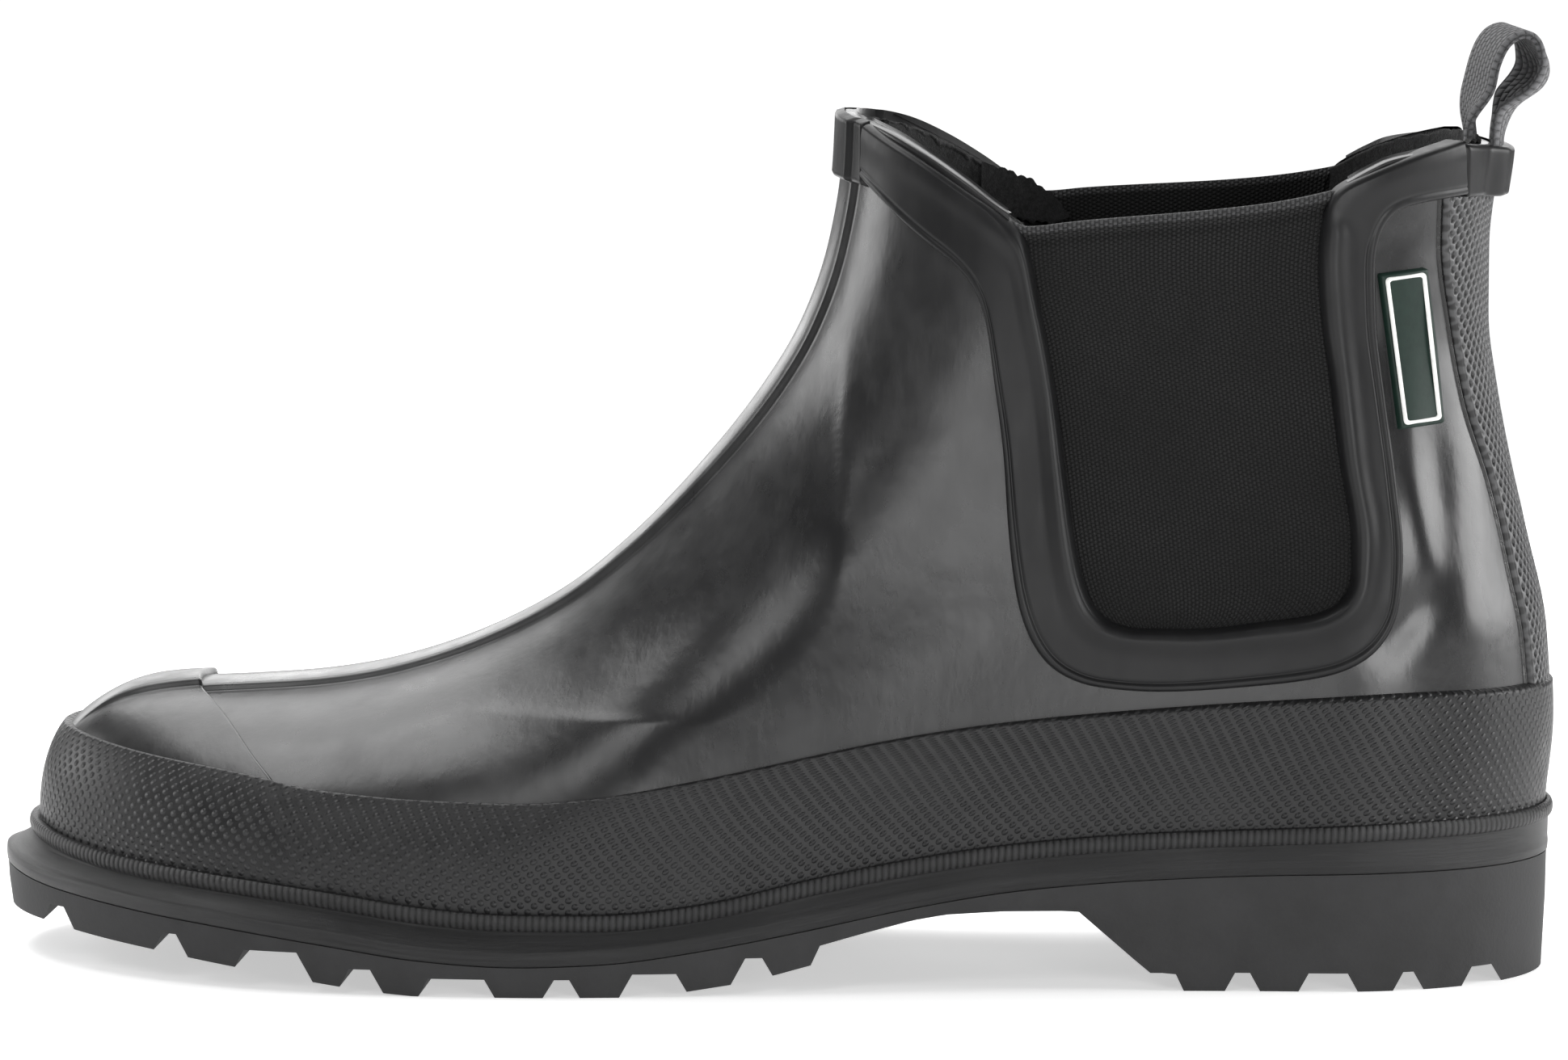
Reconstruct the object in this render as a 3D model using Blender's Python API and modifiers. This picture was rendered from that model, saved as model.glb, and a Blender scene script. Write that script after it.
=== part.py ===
"""Rubber ankle boot with elastic side panels, for the left foot.

The toe points along -X, the outer side of the foot faces -Y and the floor is at
Z = 0.  Every surface follows one form, worked out from the length, the ball
width, the instep and the heel: half_width_squared() gives its width at any
place in the side view, and form_grid() lays rings over it from the sole edge
to the collar.
"""
import math

import bmesh
import bpy
import numpy as np

MM = 0.001

# Driving sizes
LENGTH = 300 * MM
BALL_WIDTH = 110 * MM
COLLAR_HEIGHT = 162 * MM
TOE_SWING = 6 * MM
CENTRING = 2.3 * MM

# How the form rounds off
SHAFT_ROUNDING = 46 * MM
HEEL_ROUNDING = 40 * MM
FOREFOOT_FULLNESS = 2.6
SHAFT_FULLNESS = 2.1
ANKLE_LOW = 25 * MM
ANKLE_HIGH = 112 * MM
BLEND_START = 0.20
BLEND_END = 0.40

# Walls, layers and the gap between neighbours
WALL = 2.4 * MM
GAP = 0.3 * MM
SEAT_GAP = 0.45 * MM
FOXING_THICKNESS = 1.8 * MM
OVERLAY = 1.0 * MM
TRIM = 1.4 * MM
RIB_HEIGHT = 1.2 * MM
RIB_SLOPE = 1.4 * MM
RIB_LOW = 10 * MM
RIB_HIGH = 14 * MM
RIB_TURN = 0.32
GUSSET_THICKNESS = 1.4 * MM
GUSSET_LAP = 3.5 * MM
INSOLE_THICKNESS = 3.0 * MM
INSOLE_INSET = 5.0 * MM

# Sole
BEAD_RISE = 1.6 * MM
BEAD_HEIGHT = 3.2 * MM
BEAD_ROUND = 0.6 * MM
WELT_HEIGHT = 3.0 * MM
LUG_DEPTH = 3.5 * MM
LUG_SLOPE = 1.9 * MM
SOLE_DRAFT = 1.0 * MM
CHANNEL_WIDTH = 4.5 * MM
CHANNEL_DEPTH = 2.5 * MM

# Pull loop
STRAP_WIDTH = 20 * MM
STRAP_THICKNESS = 1.5 * MM

# Collar band: heights and places as shares, like the tables below
BAND_BOTTOM = 0.912
BAND_START = 0.935
TAB_END = 0.5625
TAB_BOTTOM = 0.930
LOOP_BASE = 0.975
LOOP_FREE = 2.0
LOOP_BULGE = 4.0 * MM
LOOP_SHARES = (0, 0.25, 0.5, 0.75, 1)

# Mesh density
RINGS = 18
COLUMNS = 20
DENSE = 1600

# Every "along" is a share of LENGTH from the toe, every "height" a share of COLLAR_HEIGHT
# and every side width a share of BALL_WIDTH.

# along, height: the middle line from the toe over the instep to the collar
FRONT = (
    (0.030, 0.123),
    (0.031, 0.179),
    (0.036, 0.228),
    (0.043, 0.257),
    (0.057, 0.281),
    (0.078, 0.300),
    (0.110, 0.312),
    (0.156, 0.317),
    (0.199, 0.323),
    (0.241, 0.335),
    (0.284, 0.357),
    (0.326, 0.388),
    (0.369, 0.432),
    (0.411, 0.495),
    (0.453, 0.575),
    (0.495, 0.672),
    (0.522, 0.755),
    (0.540, 0.850),
    (0.5485, 0.950),
    (0.5520, 1.200),
    (0.5530, 1.850),
)

# height, along: the middle line from the heel to the collar
BACK = (
    (0.100, 0.987),
    (0.191, 0.988),
    (0.296, 0.993),
    (0.401, 0.990),
    (0.512, 0.977),
    (0.599, 0.966),
    (0.685, 0.957),
    (0.770, 0.951),
    (0.858, 0.951),
    (0.914, 0.954),
    (0.975, 0.958),
    (1.850, 0.959),
)

# along, lateral, medial: the upper's lower edge, on each side of its middle line
FEATHER = (
    (0.030, 0.000, 0.000),
    (0.040, 0.123, 0.118),
    (0.053, 0.186, 0.177),
    (0.073, 0.250, 0.236),
    (0.107, 0.325, 0.302),
    (0.150, 0.389, 0.353),
    (0.200, 0.433, 0.385),
    (0.250, 0.456, 0.396),
    (0.300, 0.465, 0.391),
    (0.350, 0.464, 0.375),
    (0.417, 0.448, 0.345),
    (0.500, 0.414, 0.309),
    (0.583, 0.375, 0.287),
    (0.667, 0.345, 0.287),
    (0.750, 0.327, 0.300),
    (0.833, 0.318, 0.311),
    (1.000, 0.313, 0.313),
)

# along, sole line, bead top, foxing top (heights)
SIDE = (
    (0.000, 0.106, 0.166, 0.276),
    (0.033, 0.096, 0.154, 0.275),
    (0.067, 0.090, 0.144, 0.268),
    (0.100, 0.084, 0.138, 0.260),
    (0.167, 0.072, 0.129, 0.247),
    (0.233, 0.057, 0.117, 0.231),
    (0.293, 0.042, 0.102, 0.224),
    (0.350, 0.036, 0.095, 0.223),
    (0.407, 0.039, 0.095, 0.231),
    (0.467, 0.053, 0.106, 0.249),
    (0.533, 0.075, 0.133, 0.274),
    (0.600, 0.100, 0.157, 0.298),
    (0.667, 0.119, 0.174, 0.315),
    (0.750, 0.131, 0.186, 0.329),
    (0.833, 0.137, 0.192, 0.340),
    (0.917, 0.139, 0.198, 0.348),
    (1.000, 0.138, 0.199, 0.345),
)

# along, bead, welt: how far they stand out from the upper's lower edge (shares of BALL_WIDTH)
FLARE = (
    (0.00, 0.0418, 0.0845),
    (0.10, 0.0409, 0.0745),
    (0.28, 0.0382, 0.0582),
    (0.55, 0.0355, 0.0418),
    (0.80, 0.0336, 0.0273),
    (1.00, 0.0327, 0.0236),
)

# height, half width (share of BALL_WIDTH): ankle and shaft above the foot
SHAFT = (
    (0.15, 0.325),
    (0.45, 0.318),
    (0.65, 0.318),
    (0.85, 0.338),
    (1.05, 0.352),
)

# front height, back height: where the rings between sole edge and collar meet the middle lines
RING_ENDS = (
    (0.215, 0.208),
    (0.256, 0.228),
    (0.279, 0.241),
    (0.298, 0.259),
    (0.309, 0.275),
    (0.314, 0.290),
    (0.317, 0.309),
    (0.323, 0.340),
    (0.335, 0.373),
    (0.357, 0.420),
    (0.388, 0.469),
    (0.432, 0.525),
    (0.495, 0.593),
    (0.575, 0.667),
    (0.672, 0.747),
    (0.755, 0.812),
    (0.850, 0.875),
    (0.930, 0.926),
)

# along, height: the collar's edge
COLLAR = (
    (0.540, 1.010),
    (0.560, 0.998),
    (0.577, 0.986),
    (0.600, 0.963),
    (0.627, 0.932),
    (0.653, 0.900),
    (0.667, 0.888),
    (0.693, 0.893),
    (0.857, 0.930),
    (0.880, 0.951),
    (0.893, 0.963),
    (0.917, 0.974),
    (0.933, 0.983),
    (0.947, 0.978),
    (0.967, 0.972),
)

# along, height: outer edge of the rubber trim, from the front tab to the back band
TRIM_EDGE = (
    (0.564, 0.932),
    (0.570, 0.920),
    (0.590, 0.890),
    (0.616, 0.852),
    (0.633, 0.825),
    (0.642, 0.782),
    (0.648, 0.706),
    (0.654, 0.617),
    (0.657, 0.536),
    (0.662, 0.462),
    (0.669, 0.417),
    (0.684, 0.376),
    (0.710, 0.354),
    (0.750, 0.348),
    (0.815, 0.356),
    (0.860, 0.369),
    (0.887, 0.396),
    (0.900, 0.440),
    (0.902, 0.499),
    (0.897, 0.593),
    (0.890, 0.686),
    (0.884, 0.779),
    (0.883, 0.844),
    (0.886, 0.886),
    (0.897, 0.910),
    (0.935, 0.918),
)

# along, height: the elastic panel's visible edge, from the collar down and round
GUSSET_EDGE = (
    (0.664, 0.960),
    (0.668, 0.870),
    (0.677, 0.800),
    (0.684, 0.720),
    (0.691, 0.627),
    (0.696, 0.552),
    (0.702, 0.490),
    (0.712, 0.446),
    (0.730, 0.425),
    (0.758, 0.420),
    (0.845, 0.438),
    (0.863, 0.453),
    (0.871, 0.482),
    (0.871, 0.515),
    (0.862, 0.630),
    (0.854, 0.741),
    (0.849, 0.834),
    (0.852, 0.900),
    (0.858, 0.985),
)

# along, height: rear edge of the toe cap
CAP_EDGE = (
    (0.212, 0.190),
    (0.196, 0.232),
    (0.183, 0.253),
    (0.166, 0.280),
    (0.155, 0.294),
    (0.143, 0.305),
    (0.132, 0.313),
    (0.122, 0.325),
    (0.117, 0.370),
)

# height, along: front edge of the strip up the heel
STRIP_EDGE = (
    (0.300, 0.984),
    (0.400, 0.980),
    (0.485, 0.970),
    (0.580, 0.957),
    (0.675, 0.941),
    (0.770, 0.931),
    (0.863, 0.925),
    (0.940, 0.926),
)

# along, height: corners of the name plate's place
LABEL = (
    (0.8850, 0.833),
    (0.9145, 0.838),
    (0.9275, 0.655),
    (0.8985, 0.651),
)

# along, height: underside of the sole before its grooves are cut
GROUND = (
    (0.000, 0.053),
    (0.040, 0.051),
    (0.120, 0.038),
    (0.175, 0.026),
    (0.222, 0.014),
    (0.262, 0.004),
    (0.290, 0.000),
    (0.437, 0.000),
    (0.460, 0.006),
    (0.490, 0.014),
    (0.513, 0.023),
    (0.540, 0.036),
    (0.542, 0.057),
    (0.570, 0.071),
    (0.600, 0.085),
    (0.620, 0.091),
    (0.655, 0.094),
    (0.702, 0.094),
    (0.747, 0.021),
    (0.763, 0.021),
    (0.768, 0.000),
    (1.000, 0.000),
)

# from, to (along): grooves between the lugs
GROOVES = (
    (0.038, 0.061),
    (0.120, 0.142),
    (0.175, 0.222),
    (0.243, 0.269),
    (0.293, 0.341),
    (0.371, 0.394),
    (0.420, 0.460),
    (0.490, 0.513),
    (0.794, 0.816),
    (0.840, 0.877),
    (0.899, 0.918),
    (0.942, 0.967),
)

# from, to (along), offset from the middle line (share of BALL_WIDTH): lengthwise channels
CHANNELS = (
    (0.09, 0.50, -0.155),
    (0.09, 0.50, 0.136),
    (0.80, 0.95, 0),
)

# along, height: the pull loop's lateral edge, from inside the collar over to the outside
LOOP_LATERAL = (
    (0.9420, 0.935),
    (0.9420, 0.975),
    (0.9440, 0.992),
    (0.9491, 1.007),
    (0.9536, 1.022),
    (0.9570, 1.041),
    (0.9589, 1.060),
    (0.9614, 1.074),
    (0.9653, 1.088),
    (0.9713, 1.098),
    (0.9779, 1.102),
    (0.9834, 1.097),
    (0.9866, 1.084),
    (0.9872, 1.069),
    (0.9842, 1.053),
    (0.9778, 1.037),
    (0.9690, 1.025),
    (0.9612, 1.014),
    (0.9585, 1.002),
    (0.9580, 0.985),
    (0.9565, 0.960),
    (0.9555, 0.935),
)

# along, height: the pull loop's medial edge
LOOP_MEDIAL = (
    (0.9340, 0.935),
    (0.9340, 0.970),
    (0.9345, 0.993),
    (0.9375, 1.020),
    (0.9408, 1.046),
    (0.9438, 1.068),
    (0.9480, 1.088),
    (0.9543, 1.102),
    (0.9622, 1.107),
    (0.9689, 1.100),
    (0.9721, 1.084),
    (0.9717, 1.065),
    (0.9678, 1.050),
    (0.9625, 1.038),
    (0.9585, 1.026),
    (0.9580, 1.013),
    (0.9593, 0.998),
    (0.9590, 0.970),
    (0.9590, 0.935),
)


def along(share):
    """Length coordinate of a share of the sole's length."""
    return (np.asarray(share, float) - 0.5) * LENGTH


def column(table, index):
    return np.array([row[index] for row in table], float)


def curve_through(knots, values, at):
    """Smooth curve through the knots that never overshoots them."""
    step = np.diff(knots)
    slope = np.diff(values) / step
    tangent = np.zeros(len(knots))
    tangent[0] = slope[0]
    tangent[-1] = slope[-1]
    before, after = slope[:-1], slope[1:]
    same = before * after > 0
    near = 2 * step[1:] + step[:-1]
    far = step[1:] + 2 * step[:-1]
    mean = np.where(same, before * after * (near + far) / np.where(same, near * after + far * before, 1), 0)
    tangent[1:-1] = mean
    at = np.clip(at, knots[0], knots[-1])
    cell = np.clip(np.searchsorted(knots, at, side="right") - 1, 0, len(step) - 1)
    t = (at - knots[cell]) / step[cell]
    start = values[cell] + t * t * (3 - 2 * t) * (values[cell + 1] - values[cell])
    bend = t * (1 - t) * ((1 - t) * tangent[cell] - t * tangent[cell + 1]) * step[cell]
    return start + bend


def softened(line, reach):
    """The dense line with each point averaged over a reach of neighbours."""
    window = np.hanning(2 * reach + 3)[1:-1]
    window = window / window.sum()
    sides = []
    for k in range(line.shape[1]):
        values = line[:, k]
        head = 2 * values[0] - values[reach:0:-1]
        tail = 2 * values[-1] - values[-2:-reach - 2:-1]
        sides.append(np.convolve(np.concatenate([head, values, tail]), window, "valid"))
    return np.column_stack(sides)


def dense_line(points, count=DENSE, reach=0):
    """Evenly spaced points on a smooth curve through the given ones."""
    points = np.asarray(points, float)
    run = np.concatenate([[0], np.cumsum(np.hypot(*np.diff(points, axis=0).T))])
    at = np.linspace(0, run[-1], count)
    line = np.column_stack([curve_through(run, points[:, k], at) for k in range(2)])
    return softened(line, reach) if reach else line


def profile(table, first_along=True):
    """A table of along and height shares as a dense line in metres."""
    a, b = (0, 1) if first_along else (1, 0)
    points = np.column_stack([along(column(table, a)), column(table, b) * COLLAR_HEIGHT])
    return dense_line(points, DENSE, DENSE // 60)


FRONT_LINE = profile(FRONT)
BACK_LINE = profile(BACK, first_along=False)
STATIONS = np.linspace(-LENGTH / 2, LENGTH / 2, DENSE)


def side_height(index):
    table = curve_through(along(column(SIDE, 0)), column(SIDE, index) * COLLAR_HEIGHT, STATIONS)
    return softened(table[:, None], DENSE // 40)[:, 0]


SOLE_LINE = side_height(1)
BEAD_LINE = side_height(2)
FOXING_LINE = side_height(3)


def sole_line(x):
    return np.interp(x, STATIONS, SOLE_LINE)


def bead_top(x):
    return np.interp(x, STATIONS, BEAD_LINE)


def plate_top(x):
    """Top of the sole plate, where upper and foxing stand."""
    return bead_top(x) - BEAD_RISE


def feather_height(x):
    """The upper's lower edge."""
    return plate_top(x) + SEAT_GAP


def foxing_top(x):
    return np.interp(x, STATIONS, FOXING_LINE)


def collar_height(x):
    return curve_through(along(column(COLLAR, 0)), column(COLLAR, 1) * COLLAR_HEIGHT, x)


def front_height(x):
    return np.interp(x, FRONT_LINE[:, 0], FRONT_LINE[:, 1])


def front_along(z):
    return np.interp(z, FRONT_LINE[:, 1], FRONT_LINE[:, 0])


def back_along(z):
    return np.interp(z, BACK_LINE[:, 1], BACK_LINE[:, 0])


def middle(x):
    """Sideways place of the middle line, which swings inward at the toe."""
    t = np.clip(-np.asarray(x, float) / (LENGTH / 2), 0, 1)
    return CENTRING + TOE_SWING * t * t


def eased(t):
    t = np.clip(t, 0, 1)
    return t * t * (3 - 2 * t)


def feather_squared(x, side):
    """Square of the sole edge's half width, lateral for side 0 and medial for side 1."""
    widths = column(FEATHER, 1 + side) * BALL_WIDTH
    return curve_through(along(column(FEATHER, 0)), widths ** 2, x)


def half_width_squared(x, z, side):
    """Square of the form's half width at a place of the side view, below 0 outside it."""
    low = feather_squared(x, side)
    high = (curve_through(column(SHAFT, 0) * COLLAR_HEIGHT, column(SHAFT, 1) * BALL_WIDTH, z)) ** 2
    base = low + (high - low) * eased((z - ANKLE_LOW) / (ANKLE_HIGH - ANKLE_LOW))
    down = front_height(x) - z
    back = x - front_along(z)
    share = np.minimum(down / (front_height(x) - feather_height(x)), 1)
    reach = np.sign(back) * np.abs(back * down) / np.maximum(np.hypot(back, down), 1e-9)
    reach = np.minimum(reach / SHAFT_ROUNDING, 1)
    dome = 1 - (1 - share) ** FOREFOOT_FULLNESS
    round_front = 1 - (1 - reach) ** SHAFT_FULLNESS
    mix = eased((x - along(BLEND_START)) / (along(BLEND_END) - along(BLEND_START)))
    crown = dome + (round_front - dome) * mix
    heel = np.minimum((back_along(z) - x) / HEEL_ROUNDING, 1)
    return base * crown * (1 - (1 - heel) ** 2)


def outward(x, y, z, side):
    """Unit normals of the form."""
    step = 0.7 * MM
    tilt_x = half_width_squared(x + step, z, side) - half_width_squared(x - step, z, side)
    tilt_z = half_width_squared(x, z + step, side) - half_width_squared(x, z - step, side)
    across = y - middle(x)
    swing = (middle(x + step) - middle(x - step)) / (2 * step)
    normal = np.stack([-tilt_x / (2 * step) - 2 * across * swing, 2 * across, -tilt_z / (2 * step)], -1)
    return normal / np.linalg.norm(normal, axis=-1, keepdims=True)


def rib_half_width(z):
    """Half width of the raised strip down the front."""
    climb = eased((z / COLLAR_HEIGHT - RIB_TURN) / (1 - RIB_TURN))
    return RIB_LOW + (RIB_HIGH - RIB_LOW) * climb


def ring_ends(index, low, high):
    """Heights of every ring on a middle line, from the sole edge to the collar's edge."""
    heights = column(RING_ENDS, index) * COLLAR_HEIGHT
    return np.concatenate([[feather_height(low)], heights, [collar_height(high)]])


FRONT_ENDS = ring_ends(0, along(FEATHER[0][0]), along(COLLAR[0][0]))
BACK_ENDS = ring_ends(1, along(BACK[0][1]), along(COLLAR[-1][0]))


def half_ring(ring, side, columns):
    """Points of one ring from the front to the back on one side, spaced along its length."""
    t = ring / (len(FRONT_ENDS) - 1)
    knots = np.arange(len(FRONT_ENDS), dtype=float)
    front_z = curve_through(knots, FRONT_ENDS, np.array(ring, float))
    back_z = curve_through(knots, BACK_ENDS, np.array(ring, float))
    c = (1 - np.cos(np.linspace(0, math.pi, 321))) / 2
    lowest, highest = (FRONT_ENDS[0], BACK_ENDS[0]), (FRONT_ENDS[-1], BACK_ENDS[-1])

    def chord(low, high):
        return front_along(low) + (back_along(high) - front_along(low)) * c, low + (high - low) * c

    x, z = chord(front_z, back_z)
    base_x, base_z = chord(*lowest)
    rim_x, rim_z = chord(*highest)
    inside = np.sin(np.pi * c) ** 0.25
    z = z + (1 - t) ** 3 * inside * (feather_height(base_x) - base_z)
    z = z + np.clip(3 * t - 2, 0, 1) ** 2 * inside * (collar_height(rim_x) - rim_z)
    width = np.sqrt(np.maximum(half_width_squared(x, z, side), 0))
    y = middle(x) + (width if side else -width)
    points = np.stack([x, y, z], -1)
    run = np.concatenate([[0], np.cumsum(np.linalg.norm(np.diff(points, axis=0), axis=1))])
    rib = rib_half_width(front_z)
    spread = np.linspace(rib + RIB_SLOPE, run[-1], columns - 1)
    places = np.concatenate([[0, rib], spread])
    return np.column_stack([np.interp(places, run, points[:, k]) for k in range(3)])


def form_grid(rings=RINGS, columns=COLUMNS):
    """Points, outward normals and rib height of the form, ring by ring."""
    points, normals, rib = [], [], []
    profile_rise = np.zeros(columns + 1)
    profile_rise[:2] = RIB_HEIGHT
    for ring in np.linspace(0, len(FRONT_ENDS) - 1, rings):
        lateral = half_ring(ring, 0, columns)
        medial = half_ring(ring, 1, columns)
        row = np.concatenate([lateral, medial[-2:0:-1]])
        side = np.concatenate([outward(*lateral.T, 0), outward(*medial[-2:0:-1].T, 1)])
        rise = np.concatenate([profile_rise, profile_rise[-2:0:-1]])
        points.append(row)
        normals.append(side)
        rib.append(rise * eased((row[:, 0] - along(0.05)) / (0.05 * LENGTH)))
    return np.array(points), np.array(normals), np.array(rib)


POINTS, NORMALS, RIB = form_grid()


def skin(offset, ribbed=True):
    """The form moved outward by an offset, over the rib where it is ribbed.

    Its lower edge stays level with the sole plate, and its upper edge with the collar.
    """
    rise = RIB[..., None] if ribbed else 0
    moved = POINTS + NORMALS * (offset + rise)
    moved[0, :, 2] = feather_height(moved[0, :, 0])
    moved[-1, :, 2] = POINTS[-1, :, 2]
    return moved


def collection(name):
    made = bpy.data.collections.new(name)
    bpy.context.scene.collection.children.link(made)
    return made


def material(name, colour, roughness, metallic=0.0):
    made = bpy.data.materials.new(name)
    made.use_nodes = True
    shader = made.node_tree.nodes["Principled BSDF"]
    shader.inputs["Base Color"].default_value = (*colour, 1)
    shader.inputs["Roughness"].default_value = roughness
    shader.inputs["Metallic"].default_value = metallic
    made.diffuse_color = (*colour, 1)
    return made


def mesh_object(name, points, faces, home, surface=None):
    mesh = bpy.data.meshes.new(name)
    mesh.from_pydata([tuple(float(v) for v in p) for p in points], [], faces)
    mesh.validate()
    shape = bmesh.new()
    shape.from_mesh(mesh)
    bmesh.ops.recalc_face_normals(shape, faces=shape.faces)
    shape.to_mesh(mesh)
    shape.free()
    made = bpy.data.objects.new(name, mesh)
    home.objects.link(made)
    if surface:
        mesh.materials.append(surface)
    return made


def stacked_loops(loops, closed_ends=True, ring=False):
    """Vertices and faces of loops of equal length, joined one to the next."""
    points = np.concatenate(loops)
    size = len(loops[0])
    faces = []
    pairs = len(loops) if ring else len(loops) - 1
    for i in range(pairs):
        low, high = i * size, (i + 1) % len(loops) * size
        for k in range(size):
            after = (k + 1) % size
            faces.append((low + k, low + after, high + after, high + k))
    if closed_ends and not ring:
        faces += capped(0, size) + capped((len(loops) - 1) * size, size)
    return points, faces


def capped(start, size):
    """Strips across a loop whose points are paired left and right."""
    faces = [(start, start + 1, start + size - 1)]
    for k in range(1, size // 2 - 1):
        faces.append((start + k, start + k + 1, start + size - k - 1, start + size - k))
    faces.append((start + size // 2 - 1, start + size // 2, start + size // 2 + 1))
    return faces


def shell(name, inner, outer, surface, ribbed_inside=True):
    """A sleeve between two offsets of the form, open at the sole and the collar.

    Both faces are split along the same diagonals, so that stacked sleeves stay parallel.
    """
    rings, size = POINTS.shape[:2]
    points = np.concatenate([skin(outer).reshape(-1, 3), skin(inner, ribbed_inside).reshape(-1, 3)])
    faces = []
    for start in (0, rings * size):
        for i in range(rings - 1):
            for k in range(size):
                low, after = start + i * size + k, start + i * size + (k + 1) % size
                faces.append((low, after, after + size))
                faces.append((low, after + size, low + size))
    for edge in (0, (rings - 1) * size):
        for k in range(size):
            low, after = edge + k, edge + (k + 1) % size
            faces.append((low, after, after + rings * size, low + rings * size))
    return mesh_object(name, points, faces, BOOT, surface)


def prism(name, outline, y_low, y_high):
    """A cutter: a side-view outline carried across the boot."""
    size = len(outline)
    points = [(x, y_low, z) for x, z in outline] + [(x, y_high, z) for x, z in outline]
    faces = [tuple(range(size)), tuple(range(2 * size - 1, size - 1, -1))]
    faces += [(k, size + k, size + (k + 1) % size, (k + 1) % size) for k in range(size)]
    made = mesh_object(name, points, faces, CUTTERS)
    made.hide_render = True
    made.display_type = "WIRE"
    return made


def boolean(target, cutter, operation):
    """Cuts or keeps part of a piece, and leaves the result as its mesh."""
    step = target.modifiers.new(operation.title(), "BOOLEAN")
    step.operation = operation
    step.solver = "EXACT"
    step.object = cutter
    bpy.context.view_layer.update()
    graph = bpy.context.evaluated_depsgraph_get()
    mesh = bpy.data.meshes.new_from_object(target.evaluated_get(graph))
    target.modifiers.clear()
    target.data = mesh


def smooth(piece, angle=40):
    piece.data.shade_smooth()
    piece.data.set_sharp_from_angle(angle=math.radians(angle))


def outline_of(table, count=60):
    """A table of along and height shares as an even outline in metres."""
    points = np.column_stack([along(column(table, 0)), column(table, 1) * COLLAR_HEIGHT])
    return dense_line(points, count)


def grown(line, distance):
    """An open outline moved sideways, to its right for a distance above 0."""
    ahead = np.gradient(line, axis=0)
    ahead = ahead / np.linalg.norm(ahead, axis=1, keepdims=True)
    return line + distance * np.column_stack([ahead[:, 1], -ahead[:, 0]])


ABOVE = 1.3 * COLLAR_HEIGHT
BELOW = -0.1 * BALL_WIDTH
FAR = 0.8 * BALL_WIDTH
SIDES = (("lateral", -FAR, CENTRING), ("medial", CENTRING, FAR))


def gusset_prism(name, grow, y_low, y_high):
    edge = grown(outline_of(GUSSET_EDGE, 44), grow)
    top = [(edge[-1][0], ABOVE), (edge[0][0], ABOVE)]
    return prism(name, [tuple(p) for p in edge] + top, y_low, y_high)


def below_line(name, line, gap):
    """A cutter with everything below a line that runs along the boot."""
    points = [(x, z + gap) for x, z in line]
    return prism(name, [(-LENGTH, -ABOVE)] + [(-LENGTH, points[0][1])] + points
                 + [(LENGTH, points[-1][1]), (LENGTH, -ABOVE)], -FAR, FAR)


def make_upper(surface):
    """Hollow vamp and shaft, with a notch on each side for the elastic."""
    upper = shell("upper", -WALL, 0, surface, ribbed_inside=False)
    for side, low, high in SIDES:
        boolean(upper, gusset_prism("notch_" + side, GUSSET_LAP + GAP, low, high), "DIFFERENCE")
    smooth(upper)


def make_gussets(surface):
    for side, low, high in SIDES:
        inner = -(WALL + GUSSET_THICKNESS) / 2
        panel = shell("gusset_" + side, inner, inner + GUSSET_THICKNESS, surface)
        boolean(panel, gusset_prism("panel_" + side, GUSSET_LAP, low, high), "INTERSECT")
        smooth(panel)


def foxing_line(gap):
    x = np.linspace(along(-0.02), along(1.02), 46)
    return np.column_stack([x, foxing_top(x) + gap])


def make_foxing(surface):
    """The textured band round the foot above the sole."""
    foxing = shell("foxing", GAP, GAP + FOXING_THICKNESS, surface)
    boolean(foxing, below_line("foxing_top", foxing_line(0), 0), "INTERSECT")
    smooth(foxing)


def make_toe_cap(surface):
    """Thin cap over the toe, down to the foxing."""
    cap = shell("toe_cap", GAP, GAP + OVERLAY, surface)
    edge = outline_of(CAP_EDGE, 14)
    front = [(-LENGTH, edge[-1][1]), (-LENGTH, edge[0][1])]
    boolean(cap, prism("cap_edge", [tuple(p) for p in edge] + front, -FAR, FAR), "INTERSECT")
    boolean(cap, below_line("cap_foot", foxing_line(GAP), 0), "DIFFERENCE")
    smooth(cap)


def strip_outline(gap):
    edge = dense_line(np.column_stack([along(column(STRIP_EDGE, 1)), column(STRIP_EDGE, 0) * COLLAR_HEIGHT]), 24)
    edge = edge - np.array([gap, 0])
    return [tuple(p) for p in edge] + [(LENGTH, edge[-1][1]), (LENGTH, edge[0][1])]


def make_back_strip(surface):
    """Strip up the heel, from the foxing to the back band."""
    strip = shell("back_strip", GAP, GAP + OVERLAY, surface)
    boolean(strip, prism("strip_edge", strip_outline(0), -FAR, FAR), "INTERSECT")
    boolean(strip, below_line("strip_foot", foxing_line(GAP), 0), "DIFFERENCE")
    roof = [(-LENGTH, BAND_BOTTOM * COLLAR_HEIGHT), (LENGTH, BAND_BOTTOM * COLLAR_HEIGHT),
            (LENGTH, ABOVE), (-LENGTH, ABOVE)]
    boolean(strip, prism("strip_top", roof, -FAR, FAR), "DIFFERENCE")
    smooth(strip)


def make_trims(surface):
    """Raised rubber band along the collar and round each elastic panel."""
    edge = outline_of(TRIM_EDGE, 76)
    body = [tuple(p) for p in edge] + [(edge[-1][0], ABOVE), (edge[0][0], ABOVE)]
    for side, low, high in SIDES:
        trim = shell("trim_" + side, GAP, GAP + TRIM, surface)
        boolean(trim, prism("trim_edge_" + side, body, low, high), "INTERSECT")
        boolean(trim, gusset_prism("trim_window_" + side, 0, low, high), "DIFFERENCE")
        smooth(trim)


def make_front_tab(surface):
    """The collar band's front piece, over the top of the rib."""
    tab = shell("collar_tab_front", GAP, GAP + TRIM, surface)
    end = along(TAB_END)
    bottom = TAB_BOTTOM * COLLAR_HEIGHT
    boolean(tab, prism("tab_edge", [(-LENGTH, bottom), (end, bottom), (end, ABOVE), (-LENGTH, ABOVE)],
                       -FAR, FAR), "INTERSECT")
    smooth(tab)


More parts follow.
